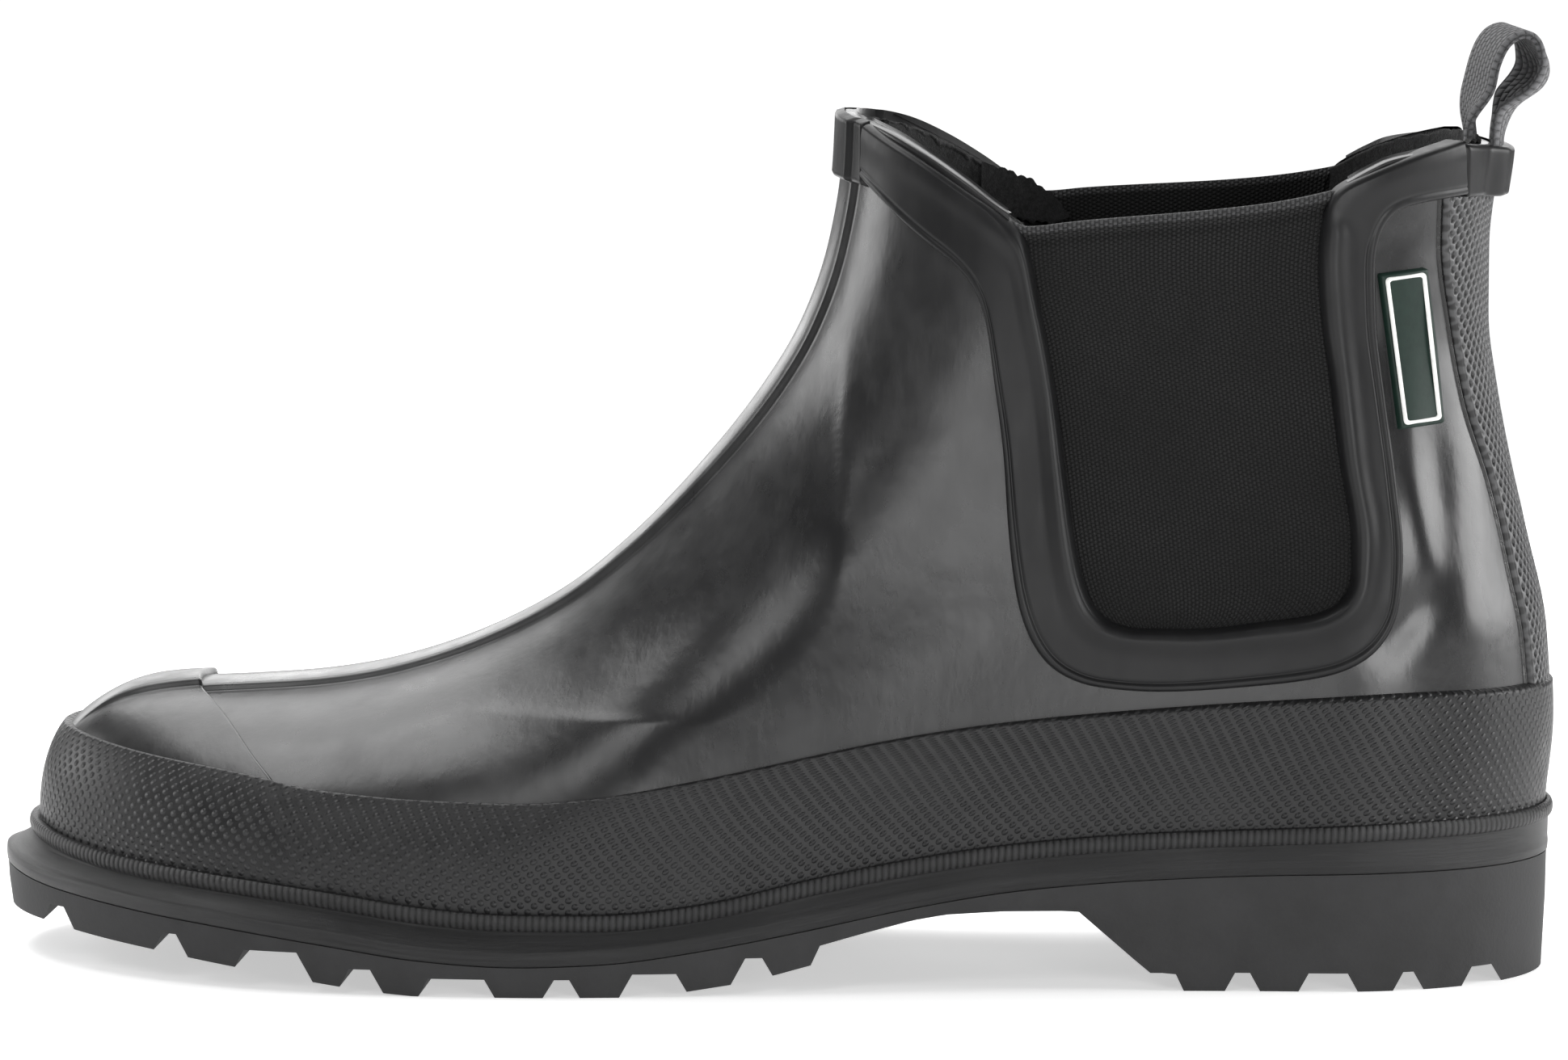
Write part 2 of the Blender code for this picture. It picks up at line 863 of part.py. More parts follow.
def make_back_band(surface):
    """The collar band's back piece, which holds the pull loop's outer leg."""
    inner = 4 * GAP + STRAP_THICKNESS
    band = shell("collar_band_back", inner, inner + TRIM, surface)
    start = along(BAND_START) + GAP
    bottom = BAND_BOTTOM * COLLAR_HEIGHT + GAP
    boolean(band, prism("band_edge", [(start, bottom), (LENGTH, bottom), (LENGTH, ABOVE), (start, ABOVE)],
                        -FAR, FAR), "INTERSECT")
    smooth(band)


def make_label(surface):
    """Small plate on the lateral quarter, left blank."""
    plate = shell("label_plate", GAP, GAP + OVERLAY, surface)
    corners = [(float(along(a)), h * COLLAR_HEIGHT) for a, h in LABEL]
    boolean(plate, prism("label_edge", corners, -FAR, 0), "INTERSECT")
    smooth(plate)


def sole_stations(extra=()):
    """Places along the sole, close together at toe and heel."""
    tip, end = along(FEATHER[0][0]), back_along(feather_height(0.145))
    t = (1 - np.cos(np.linspace(0, math.pi, 37))) / 2
    even = tip + (end - tip) * t
    marks = np.array([float(v) for v in extra if tip < v < end])
    kept = [v for v in even if marks.size == 0 or np.min(np.abs(marks - v)) > 2 * MM or v in (even[0], even[-1])]
    return np.sort(np.concatenate([kept, marks]))


def sole_loop(stations, offset, height):
    """A closed loop round the foot: the sole edge moved out, at a height read along it."""
    z = feather_height(stations)
    sides = []
    for side in (0, 1):
        width = np.sqrt(np.maximum(half_width_squared(stations, z, side), 0))
        y = middle(stations) + (width if side else -width)
        normal = outward(stations, y, z, side)[:, :2]
        normal = normal / np.linalg.norm(normal, axis=1, keepdims=True)
        reach = offset(stations) if callable(offset) else np.full(len(stations), offset)
        sides.append(np.column_stack([stations, y]) + normal * reach[:, None])
    plan = np.concatenate([sides[0], sides[1][-2:0:-1]])
    level = height(plan[:, 0]) if callable(height) else np.full(len(plan), height)
    return np.column_stack([plan, level])


def flare(index, extra=0.0):
    def reach(x):
        return curve_through(along(column(FLARE, 0)), column(FLARE, index) * BALL_WIDTH, x) + extra
    return reach


def make_sole_plate(surface):
    """Plate that closes the upper below, with the welt and the bead round its edge."""
    stations = sole_stations()
    rebate = FOXING_THICKNESS + 3 * GAP
    loops = [
        sole_loop(stations, flare(2), sole_line),
        sole_loop(stations, flare(2), lambda x: sole_line(x) + WELT_HEIGHT),
        sole_loop(stations, flare(1, -BEAD_ROUND), lambda x: bead_top(x) - BEAD_HEIGHT),
        sole_loop(stations, flare(1), lambda x: bead_top(x) - 0.6 * BEAD_HEIGHT),
        sole_loop(stations, flare(1), lambda x: bead_top(x) - 0.2 * BEAD_HEIGHT),
        sole_loop(stations, flare(1, -BEAD_ROUND), bead_top),
        sole_loop(stations, rebate, bead_top),
        sole_loop(stations, rebate, plate_top),
    ]
    points, faces = stacked_loops(loops)
    smooth(mesh_object("sole_plate", points, faces, BOOT, surface))


def ground(x):
    return np.interp(x, along(column(GROUND, 0)), column(GROUND, 1) * COLLAR_HEIGHT)


def groove_cutter(name, start, end):
    """A bar across the sole with sloping sides."""
    top = max(ground(start), ground(end)) + LUG_DEPTH
    spread = LUG_SLOPE * (top - BELOW) / LUG_DEPTH
    outline = [(start + LUG_SLOPE, top), (end - LUG_SLOPE, top),
               (end - LUG_SLOPE + spread, BELOW), (start + LUG_SLOPE - spread, BELOW)]
    return prism(name, outline, -FAR, FAR)


def channel_cutter(name, start, end, offset):
    """A shallow channel along the sole that follows its underside."""
    loops = []
    for x in np.linspace(start, end, 12):
        top = float(ground(x)) + CHANNEL_DEPTH
        y = float(middle(x)) + offset
        half = CHANNEL_WIDTH / 2
        loops.append(np.array([(x, y - half, top), (x, y + half, top),
                               (x, y + half, BELOW), (x, y - half, BELOW)]))
    points, faces = stacked_loops(loops, closed_ends=False)
    last = len(points) - 4
    faces += [(0, 1, 2, 3), (last, last + 1, last + 2, last + 3)]
    made = mesh_object(name, points, faces, CUTTERS)
    made.hide_render = True
    made.display_type = "WIRE"
    return made


def make_outsole(surface):
    """Tread with arch, heel block and lugs."""
    stations = sole_stations(along(column(GROUND, 0)))
    loops = [
        sole_loop(stations, flare(2, -SOLE_DRAFT), ground),
        sole_loop(stations, flare(2, -0.2 * MM), lambda x: sole_line(x) - GAP),
    ]
    points, faces = stacked_loops(loops)
    sole = mesh_object("outsole", points, faces, BOOT, surface)
    for k, (start, end) in enumerate(GROOVES):
        boolean(sole, groove_cutter(f"groove_{k}", float(along(start)), float(along(end))), "DIFFERENCE")
    for k, (start, end, offset) in enumerate(CHANNELS):
        cutter = channel_cutter(f"channel_{k}", float(along(start)), float(along(end)), offset * BALL_WIDTH)
        boolean(sole, cutter, "DIFFERENCE")
    smooth(sole)


def make_insole(surface):
    stations = sole_stations()
    loops = [
        sole_loop(stations, -INSOLE_INSET, lambda x: plate_top(x) + GAP),
        sole_loop(stations, -INSOLE_INSET, lambda x: plate_top(x) + GAP + INSOLE_THICKNESS),
    ]
    points, faces = stacked_loops(loops)
    smooth(mesh_object("insole", points, faces, BOOT, surface))


def on_back(y, z, offset):
    """The place on the back of the form at a sideways place and height, moved outward."""
    side = 1 if y > CENTRING else 0
    x = np.linspace(back_along(z) - HEEL_ROUNDING, back_along(z), 200)
    across = (y - CENTRING) ** 2
    x = float(np.interp(-across, -half_width_squared(x, np.full(200, z), side), x))
    normal = outward(np.array([x]), np.array([y]), np.array([z]), side)[0]
    return np.array([x, y, z]) + normal * offset


def make_pull_loop(surface):
    """Webbing loop at the back: one leg inside the collar, one outside under the band."""
    edges = [dense_line(np.column_stack([along(column(edge, 0)), column(edge, 1) * COLLAR_HEIGHT]), 23)
             for edge in (LOOP_LATERAL, LOOP_MEDIAL)]
    crest = int(np.argmax(edges[0][:, 1] + edges[1][:, 1]))
    top = edges[1][crest, 1]
    rim = LOOP_BASE * COLLAR_HEIGHT
    inside = -(WALL + GAP + 0.8 * STRAP_THICKNESS)
    outside = GAP + 0.6 * STRAP_THICKNESS
    points = []
    for i, (near, far) in enumerate(zip(*edges)):
        for share in LOOP_SHARES:
            x, z = near + (far - near) * share
            if i > crest:
                x += LOOP_BULGE * 4 * share * (1 - share) * float(eased((top - z) / (top - rim) * LOOP_FREE))
            y = CENTRING + (share - 0.5) * STRAP_WIDTH
            free = float(eased((z - rim) / (top - rim) * LOOP_FREE))
            held = on_back(y, z, inside if i < crest else outside)
            points.append(held + (np.array([x, y, z]) - held) * free)
    faces = []
    wide = len(LOOP_SHARES)
    for i in range(len(edges[0]) - 1):
        for k in range(wide - 1):
            low = wide * i + k
            faces.append((low, low + 1, low + wide + 1, low + wide))
    strap = mesh_object("pull_loop", points, faces, BOOT, surface)
    thick = strap.modifiers.new("Webbing", "SOLIDIFY")
    thick.thickness = STRAP_THICKNESS
    thick.offset = 0
    smooth(strap)


for old in list(bpy.data.objects):
    bpy.data.objects.remove(old, do_unlink=True)

BOOT = collection("ankle_boot")
CUTTERS = collection("cutters")

RUBBER = material("upper rubber", (0.020, 0.020, 0.022), 0.35)
FOXING = material("foxing rubber", (0.035, 0.036, 0.038), 0.60)
TRIM_RUBBER = material("trim rubber", (0.026, 0.026, 0.028), 0.40)
WELT = material("welt rubber", (0.022, 0.022, 0.024), 0.38)
TREAD = material("tread rubber", (0.030, 0.030, 0.032), 0.70)
ELASTIC = material("elastic webbing", (0.012, 0.012, 0.013), 0.90)
FELT = material("insole felt", (0.045, 0.045, 0.048), 0.95)
TAPE = material("loop webbing", (0.10, 0.10, 0.105), 0.85)
GREEN = material("label green", (0.010, 0.028, 0.020), 0.45)

make_outsole(TREAD)
make_sole_plate(WELT)
make_upper(RUBBER)
make_foxing(FOXING)
make_toe_cap(RUBBER)
make_back_strip(FOXING)
make_trims(TRIM_RUBBER)
make_front_tab(TRIM_RUBBER)
make_back_band(TRIM_RUBBER)
make_gussets(ELASTIC)
make_insole(FELT)
make_label(GREEN)
make_pull_loop(TAPE)
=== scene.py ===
"""The looks of the rubber ankle boot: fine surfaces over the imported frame, materials, light and camera.

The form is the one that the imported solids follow: toe along -X, outer side of the foot
towards -Y, floor at Z = 0. The class Form lays rings over it from the sole edge to the
collar. Most pieces are a patch of those rings, moved outward by an offset of their own.
"""
import math

import bmesh
import bpy
import numpy as np
from mathutils import Matrix, Vector


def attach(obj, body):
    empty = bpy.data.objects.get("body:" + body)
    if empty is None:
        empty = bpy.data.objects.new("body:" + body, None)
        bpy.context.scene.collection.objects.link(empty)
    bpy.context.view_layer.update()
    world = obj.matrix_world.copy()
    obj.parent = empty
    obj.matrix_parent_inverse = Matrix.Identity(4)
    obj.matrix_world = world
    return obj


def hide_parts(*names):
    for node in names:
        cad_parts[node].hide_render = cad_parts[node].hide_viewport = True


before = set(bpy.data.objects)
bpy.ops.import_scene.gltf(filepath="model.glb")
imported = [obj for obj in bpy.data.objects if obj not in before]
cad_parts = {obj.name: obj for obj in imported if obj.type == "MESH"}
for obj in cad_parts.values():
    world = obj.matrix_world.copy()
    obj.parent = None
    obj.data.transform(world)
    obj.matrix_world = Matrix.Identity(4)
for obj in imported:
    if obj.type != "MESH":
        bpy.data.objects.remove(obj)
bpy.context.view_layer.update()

MM = 0.001

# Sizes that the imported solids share
LENGTH = 300 * MM
BALL_WIDTH = 110 * MM
COLLAR_HEIGHT = 162 * MM
TOE_SWING = 6 * MM
CENTRING = 2.3 * MM
SHAFT_ROUNDING = 46 * MM
HEEL_ROUNDING = 40 * MM
FOREFOOT_FULLNESS = 2.6
SHAFT_FULLNESS = 2.1
ANKLE_LOW = 25 * MM
ANKLE_HIGH = 112 * MM
BLEND_START = 0.20
BLEND_END = 0.40
WALL = 2.4 * MM
GAP = 0.3 * MM
SEAT_GAP = 0.45 * MM
FOXING_THICKNESS = 1.8 * MM
OVERLAY = 1.0 * MM
TRIM = 1.4 * MM
RIB_HEIGHT = 1.2 * MM
RIB_SLOPE = 1.4 * MM
BEAD_RISE = 1.6 * MM
BEAD_HEIGHT = 3.2 * MM
LUG_DEPTH = 3.5 * MM
LUG_SLOPE = 1.9 * MM
SOLE_DRAFT = 1.0 * MM
STRAP_WIDTH = 20 * MM
STRAP_THICKNESS = 1.5 * MM
RIB_LOW = 10 * MM
RIB_HIGH = 14 * MM
RIB_TURN = 0.32

# Side 0 is the outer one and side 1 the inner one
SIDES = ("lateral", "medial")

# Sizes that only this script needs
DIAMOND_WIDE = 2.3 * MM
DIAMOND_TALL = 2.9 * MM
ELASTIC_TALL = 84 * MM
SUNK = 0.1 * MM
RIM_DROP = 0.5 * MM

# Mesh density
RINGS = 250
COLUMNS = 210
RIB_COLUMNS = 7
DENSE = 1600

# Every "along" is a share of LENGTH from the toe, every "height" a share of COLLAR_HEIGHT
# and every side width a share of BALL_WIDTH.

# along, height: the middle line from the toe over the instep to the collar
FRONT = (
    (0.030, 0.123), (0.031, 0.179), (0.036, 0.228), (0.043, 0.257), (0.057, 0.281), (0.078, 0.300),
    (0.110, 0.312), (0.156, 0.317), (0.199, 0.323), (0.241, 0.335), (0.284, 0.357), (0.326, 0.388),
    (0.369, 0.432), (0.411, 0.495), (0.453, 0.575), (0.495, 0.672), (0.522, 0.755), (0.540, 0.850),
    (0.5485, 0.950), (0.5520, 1.200), (0.5530, 1.850),
)

# height, along: the middle line from the heel to the collar
BACK = (
    (0.100, 0.987), (0.191, 0.988), (0.296, 0.993), (0.401, 0.990), (0.512, 0.977), (0.599, 0.966),
    (0.685, 0.957), (0.770, 0.951), (0.858, 0.951), (0.914, 0.954), (0.975, 0.958), (1.850, 0.959),
)

# along, lateral, medial: the upper's lower edge, on each side of its middle line
FEATHER = (
    (0.030, 0.000, 0.000), (0.040, 0.123, 0.118), (0.053, 0.186, 0.177), (0.073, 0.250, 0.236),
    (0.107, 0.325, 0.302), (0.150, 0.389, 0.353), (0.200, 0.433, 0.385), (0.250, 0.456, 0.396),
    (0.300, 0.465, 0.391), (0.350, 0.464, 0.375), (0.417, 0.448, 0.345), (0.500, 0.414, 0.309),
    (0.583, 0.375, 0.287), (0.667, 0.345, 0.287), (0.750, 0.327, 0.300), (0.833, 0.318, 0.311),
    (1.000, 0.313, 0.313),
)

# along, sole line, bead top, foxing top (heights)
SIDE = (
    (0.000, 0.106, 0.166, 0.276), (0.033, 0.096, 0.154, 0.275), (0.067, 0.090, 0.144, 0.268),
    (0.100, 0.084, 0.138, 0.260), (0.167, 0.072, 0.129, 0.247), (0.233, 0.057, 0.117, 0.231),
    (0.293, 0.042, 0.102, 0.224), (0.350, 0.036, 0.095, 0.223), (0.407, 0.039, 0.095, 0.231),
    (0.467, 0.053, 0.106, 0.249), (0.533, 0.075, 0.133, 0.274), (0.600, 0.100, 0.157, 0.298),
    (0.667, 0.119, 0.174, 0.315), (0.750, 0.131, 0.186, 0.329), (0.833, 0.137, 0.192, 0.340),
    (0.917, 0.139, 0.198, 0.348), (1.000, 0.138, 0.199, 0.345),
)

# along, bead, welt: how far they stand out from the upper's lower edge (shares of BALL_WIDTH)
FLARE = (
    (0.00, 0.0418, 0.0845), (0.10, 0.0409, 0.0745), (0.28, 0.0382, 0.0582), (0.55, 0.0355, 0.0418),
    (0.80, 0.0336, 0.0273), (1.00, 0.0327, 0.0236),
)

# height, half width (share of BALL_WIDTH): ankle and shaft above the foot
SHAFT = (
    (0.15, 0.325), (0.45, 0.318), (0.65, 0.318), (0.85, 0.338), (1.05, 0.352),
)

# front height, back height: where the rings between sole edge and collar meet the middle lines
RING_ENDS = (
    (0.215, 0.208), (0.256, 0.228), (0.279, 0.241), (0.298, 0.259), (0.309, 0.275), (0.314, 0.290),
    (0.317, 0.309), (0.323, 0.340), (0.335, 0.373), (0.357, 0.420), (0.388, 0.469), (0.432, 0.525),
    (0.495, 0.593), (0.575, 0.667), (0.672, 0.747), (0.755, 0.812), (0.850, 0.875), (0.930, 0.926),
)

# along, height: the collar's edge
COLLAR = (
    (0.540, 1.010), (0.560, 0.998), (0.577, 0.986), (0.600, 0.963), (0.627, 0.932), (0.653, 0.900),
    (0.667, 0.888), (0.693, 0.893), (0.857, 0.930), (0.880, 0.951), (0.893, 0.963), (0.917, 0.974),
    (0.933, 0.983), (0.947, 0.978), (0.967, 0.972),
)

# outer along, outer height, inner along, inner height: the trim band, section by section
TRIM_BAND = (
    (0.5640, 0.932, 0.567, 0.997), (0.5700, 0.922, 0.577, 0.986), (0.5890, 0.890, 0.596, 0.967),
    (0.6080, 0.862, 0.615, 0.946), (0.6250, 0.838, 0.634, 0.923), (0.6370, 0.810, 0.652, 0.901),
    (0.6430, 0.775, 0.666, 0.878), (0.6480, 0.706, 0.676, 0.800), (0.6540, 0.617, 0.686, 0.700),
    (0.6570, 0.536, 0.693, 0.600), (0.6620, 0.462, 0.700, 0.510), (0.6690, 0.417, 0.708, 0.457),
    (0.6840, 0.376, 0.720, 0.431), (0.7100, 0.354, 0.740, 0.421), (0.7500, 0.348, 0.770, 0.421),
    (0.8150, 0.356, 0.820, 0.431), (0.8600, 0.369, 0.848, 0.439), (0.8870, 0.396, 0.864, 0.454),
    (0.9000, 0.440, 0.871, 0.484), (0.9020, 0.499, 0.871, 0.525), (0.8970, 0.593, 0.863, 0.620),
    (0.8900, 0.686, 0.857, 0.710), (0.8840, 0.779, 0.851, 0.790), (0.8830, 0.844, 0.849, 0.860),
    (0.8860, 0.880, 0.856, 0.925), (0.8960, 0.905, 0.880, 0.950), (0.9150, 0.914, 0.912, 0.972),
    (0.9370, 0.918, 0.934, 0.983),
)

# along, height: the elastic panel's visible edge, from the collar down and round
GUSSET_EDGE = (
    (0.664, 0.960), (0.668, 0.870), (0.677, 0.800), (0.684, 0.720), (0.691, 0.627), (0.696, 0.552),
    (0.702, 0.490), (0.712, 0.446), (0.730, 0.425), (0.758, 0.420), (0.845, 0.438), (0.863, 0.453),
    (0.871, 0.482), (0.871, 0.515), (0.862, 0.630), (0.854, 0.741), (0.849, 0.834), (0.852, 0.900),
    (0.858, 0.985),
)

# along, height: rear edge of the toe cap
CAP_EDGE = (
    (0.212, 0.190), (0.196, 0.232), (0.183, 0.253), (0.166, 0.280), (0.155, 0.294), (0.143, 0.305),
    (0.132, 0.313), (0.122, 0.325), (0.117, 0.370),
)

# height, along: front edge of the strip up the heel
STRIP_EDGE = (
    (0.300, 0.984), (0.400, 0.980), (0.485, 0.970), (0.580, 0.957), (0.675, 0.941), (0.770, 0.931),
    (0.863, 0.925), (0.940, 0.926),
)

# along, height: corners of the label plate
LABEL = (
    (0.8850, 0.833), (0.9145, 0.838), (0.9275, 0.655), (0.8985, 0.651),
)

# along, height: underside of the sole before its grooves are cut
GROUND = (
    (0.000, 0.053), (0.040, 0.051), (0.120, 0.038), (0.175, 0.026), (0.222, 0.014), (0.262, 0.004),
    (0.290, 0.000), (0.437, 0.000), (0.460, 0.006), (0.490, 0.014), (0.513, 0.023), (0.540, 0.036),
    (0.542, 0.057), (0.570, 0.071), (0.600, 0.085), (0.620, 0.091), (0.655, 0.094), (0.702, 0.094),
    (0.747, 0.021), (0.763, 0.021), (0.768, 0.000), (1.000, 0.000),
)

# from, to (along): grooves between the lugs
GROOVES = (
    (0.038, 0.061), (0.120, 0.142), (0.175, 0.222), (0.243, 0.269), (0.293, 0.341), (0.371, 0.394),
    (0.420, 0.460), (0.490, 0.513), (0.794, 0.816), (0.840, 0.877), (0.899, 0.918), (0.942, 0.967),
)

# from, to (along), offset from the middle line (share of BALL_WIDTH): lengthwise channels
CHANNELS = (
    (0.09, 0.50, -0.155), (0.09, 0.50, 0.136), (0.80, 0.95, 0),
)
CHANNEL_WIDTH = 4.5 * MM
CHANNEL_DEPTH = 2.5 * MM

# along, height: the pull loop's lateral edge, from inside the collar over to the outside
LOOP_LATERAL = (
    (0.9420, 0.935), (0.9420, 0.975), (0.9440, 0.992), (0.9491, 1.007), (0.9536, 1.022),
    (0.9570, 1.041), (0.9589, 1.060), (0.9614, 1.074), (0.9653, 1.088), (0.9713, 1.098),
    (0.9779, 1.102), (0.9834, 1.097), (0.9866, 1.084), (0.9872, 1.069), (0.9842, 1.053),
    (0.9778, 1.037), (0.9690, 1.025), (0.9612, 1.014), (0.9585, 1.002), (0.9580, 0.985),
    (0.9565, 0.960), (0.9555, 0.935),
)

# along, height: the pull loop's medial edge
LOOP_MEDIAL = (
    (0.9340, 0.935), (0.9340, 0.970), (0.9345, 0.993), (0.9375, 1.020), (0.9408, 1.046),
    (0.9438, 1.068), (0.9480, 1.088), (0.9543, 1.102), (0.9622, 1.107), (0.9689, 1.100),
    (0.9721, 1.084), (0.9717, 1.065), (0.9678, 1.050), (0.9625, 1.038), (0.9585, 1.026),
    (0.9580, 1.013), (0.9593, 0.998), (0.9590, 0.970), (0.9590, 0.935),
)

# along, height: where the toe's part of the foxing laps over the rest
BUMPER_SEAM = (
    (0.2234, 0.1327), (0.2165, 0.1555), (0.2109, 0.1780), (0.2047, 0.2086), (0.1966, 0.2377),
)

# along, height, length, width, depth (millimetres), turn (degrees), side: soft creases in the rubber
CREASES = (
    (0.585, 0.47, 46, 9, -0.35, 58, 0),
    (0.560, 0.62, 40, 10, 0.30, 66, 0),
    (0.640, 0.40, 36, 9, 0.30, 30, 0),
    (0.500, 0.42, 52, 12, -0.30, 42, 0),
    (0.925, 0.60, 30, 3.4, -1.0, 96, 0),
    (0.914, 0.52, 26, 3.2, 0.8, 98, 0),
    (0.906, 0.43, 18, 4.0, -0.9, 47, 0),
    (0.940, 0.46, 32, 5.0, 0.6, 100, 0),
    (0.968, 0.43, 30, 6.0, -0.5, 102, 0),
    (0.600, 0.50, 44, 9, -0.35, 60, 1),
    (0.560, 0.62, 38, 9, 0.30, 55, 1),
    (0.925, 0.48, 26, 6, -0.50, 85, 1),
)


def along(share):
    """Length coordinate of a share of the sole's length."""
    return (np.asarray(share, float) - 0.5) * LENGTH


def column(table, index):
    return np.array([row[index] for row in table], float)


def curve_through(knots, values, at):
    """Smooth curve through the knots that never overshoots them."""
    step = np.diff(knots)
    slope = np.diff(values) / step
    tangent = np.zeros(len(knots))
    tangent[0] = slope[0]
    tangent[-1] = slope[-1]
    before, after = slope[:-1], slope[1:]
    same = before * after > 0
    near = 2 * step[1:] + step[:-1]
    far = step[1:] + 2 * step[:-1]
    mean = np.where(same, before * after * (near + far) / np.where(same, near * after + far * before, 1), 0)
    tangent[1:-1] = mean
    at = np.clip(at, knots[0], knots[-1])
    cell = np.clip(np.searchsorted(knots, at, side="right") - 1, 0, len(step) - 1)
    t = (at - knots[cell]) / step[cell]
    start = values[cell] + t * t * (3 - 2 * t) * (values[cell + 1] - values[cell])
    bend = t * (1 - t) * ((1 - t) * tangent[cell] - t * tangent[cell + 1]) * step[cell]
    return start + bend


def softened(line, reach):
    """The dense line with each point averaged over a reach of neighbours."""
    window = np.hanning(2 * reach + 3)[1:-1]
    window = window / window.sum()
    sides = []
    for k in range(line.shape[1]):
        values = line[:, k]
        head = 2 * values[0] - values[reach:0:-1]
        tail = 2 * values[-1] - values[-2:-reach - 2:-1]
        sides.append(np.convolve(np.concatenate([head, values, tail]), window, "valid"))
    return np.column_stack(sides)


def run_along(points):
    """Distance of every point of a line from its first one."""
    return np.concatenate([[0], np.cumsum(np.linalg.norm(np.diff(points, axis=0), axis=1))])


def dense_line(points, count=DENSE, reach=0):
    """Evenly spaced points on a smooth curve through the given ones."""
    points = np.asarray(points, float)
    run = run_along(points)
    at = np.linspace(0, run[-1], count)
    line = np.column_stack([curve_through(run, points[:, k], at) for k in range(points.shape[1])])
    return softened(line, reach) if reach else line


def side_points(table, first_along=True):
    """A table of along and height shares as places of the side view in metres."""
    a, b = (0, 1) if first_along else (1, 0)
    return np.column_stack([along(column(table, a)), column(table, b) * COLLAR_HEIGHT])


def profile(table, first_along=True):
    return dense_line(side_points(table, first_along), DENSE, DENSE // 60)


def edge_at(table, z, first_along=True):
    """Where an edge of the side view lies along the boot at a height."""
    line = dense_line(side_points(table, first_along), 200)
    return np.interp(z, line[:, 1], line[:, 0])


FRONT_LINE = profile(FRONT)
BACK_LINE = profile(BACK, first_along=False)
STATIONS = np.linspace(-LENGTH / 2, LENGTH / 2, DENSE)


def side_height(index):
    table = curve_through(along(column(SIDE, 0)), column(SIDE, index) * COLLAR_HEIGHT, STATIONS)
    return softened(table[:, None], DENSE // 40)[:, 0]


SOLE_LINE = side_height(1)
BEAD_LINE = side_height(2)
FOXING_LINE = side_height(3)


def sole_line(x):
    return np.interp(x, STATIONS, SOLE_LINE)


def bead_top(x):
    return np.interp(x, STATIONS, BEAD_LINE)


def plate_top(x):
    """Top of the sole plate, where upper and foxing stand."""
    return bead_top(x) - BEAD_RISE


def feather_height(x):
    """The upper's lower edge."""
    return plate_top(x) + SEAT_GAP


def foxing_top(x):
    return np.interp(x, STATIONS, FOXING_LINE)


def collar_height(x):
    return curve_through(along(column(COLLAR, 0)), column(COLLAR, 1) * COLLAR_HEIGHT, x)


def front_height(x):
    return np.interp(x, FRONT_LINE[:, 0], FRONT_LINE[:, 1])


def front_along(z):
    return np.interp(z, FRONT_LINE[:, 1], FRONT_LINE[:, 0])


def back_along(z):
    return np.interp(z, BACK_LINE[:, 1], BACK_LINE[:, 0])


def middle(x):
    """Sideways place of the middle line, which swings inward at the toe."""
    t = np.clip(-np.asarray(x, float) / (LENGTH / 2), 0, 1)
    return CENTRING + TOE_SWING * t * t


def eased(t):
    t = np.clip(t, 0, 1)
    return t * t * (3 - 2 * t)


def feather_squared(x, side):
    """Square of the sole edge's half width, lateral for side 0 and medial for side 1."""
    widths = column(FEATHER, 1 + side) * BALL_WIDTH
    return curve_through(along(column(FEATHER, 0)), widths ** 2, x)


def half_width_squared(x, z, side):
    """Square of the form's half width at a place of the side view, below 0 outside it."""
    low = feather_squared(x, side)
    high = curve_through(column(SHAFT, 0) * COLLAR_HEIGHT, column(SHAFT, 1) * BALL_WIDTH, z) ** 2
    base = low + (high - low) * eased((z - ANKLE_LOW) / (ANKLE_HIGH - ANKLE_LOW))
    down = front_height(x) - z
    back = x - front_along(z)
    share = np.minimum(down / (front_height(x) - feather_height(x)), 1)
    reach = np.sign(back) * np.abs(back * down) / np.maximum(np.hypot(back, down), 1e-9)
    reach = np.minimum(reach / SHAFT_ROUNDING, 1)
    dome = 1 - (1 - share) ** FOREFOOT_FULLNESS
    round_front = 1 - (1 - reach) ** SHAFT_FULLNESS
    mix = eased((x - along(BLEND_START)) / (along(BLEND_END) - along(BLEND_START)))
    crown = dome + (round_front - dome) * mix
    heel = np.minimum((back_along(z) - x) / HEEL_ROUNDING, 1)
    return base * crown * (1 - (1 - heel) ** 2)


def outward(x, y, z, side):
    """Unit normals of the form."""
    step = 0.7 * MM
    tilt_x = half_width_squared(x + step, z, side) - half_width_squared(x - step, z, side)
    tilt_z = half_width_squared(x, z + step, side) - half_width_squared(x, z - step, side)
    across = y - middle(x)
    swing = (middle(x + step) - middle(x - step)) / (2 * step)
    normal = np.stack([-tilt_x / (2 * step) - 2 * across * swing, 2 * across, -tilt_z / (2 * step)], -1)
    return normal / np.linalg.norm(normal, axis=-1, keepdims=True)


def creased(x, z, side):
    """How far soft creases move the rubber outward at a place of the side view."""
    rise = np.zeros_like(x)
    for share, height, length, width, depth, turn, where in CREASES:
        dx, dz = (x - along(share)) / MM, (z - height * COLLAR_HEIGHT) / MM
        c, s = math.cos(math.radians(turn)), math.sin(math.radians(turn))
        on, off = dx * c + dz * s, -dx * s + dz * c
        rise = rise + (side == where) * depth * MM * np.exp(-(on / length * 2) ** 2 - (off / width) ** 2)
    return rise


def rib_half_width(z):
    """Half width of the raised strip down the front."""
    climb = eased((z / COLLAR_HEIGHT - RIB_TURN) / (1 - RIB_TURN))
    return RIB_LOW + (RIB_HIGH - RIB_LOW) * climb


def ring_ends(index, low, high):
    """Heights of every ring on a middle line, from the sole edge to the collar's edge."""
    heights = column(RING_ENDS, index) * COLLAR_HEIGHT
    return np.concatenate([[feather_height(low)], heights, [collar_height(high)]])


FRONT_ENDS = ring_ends(0, along(FEATHER[0][0]), along(COLLAR[0][0]))
BACK_ENDS = ring_ends(1, along(BACK[0][1]), along(COLLAR[-1][0]))


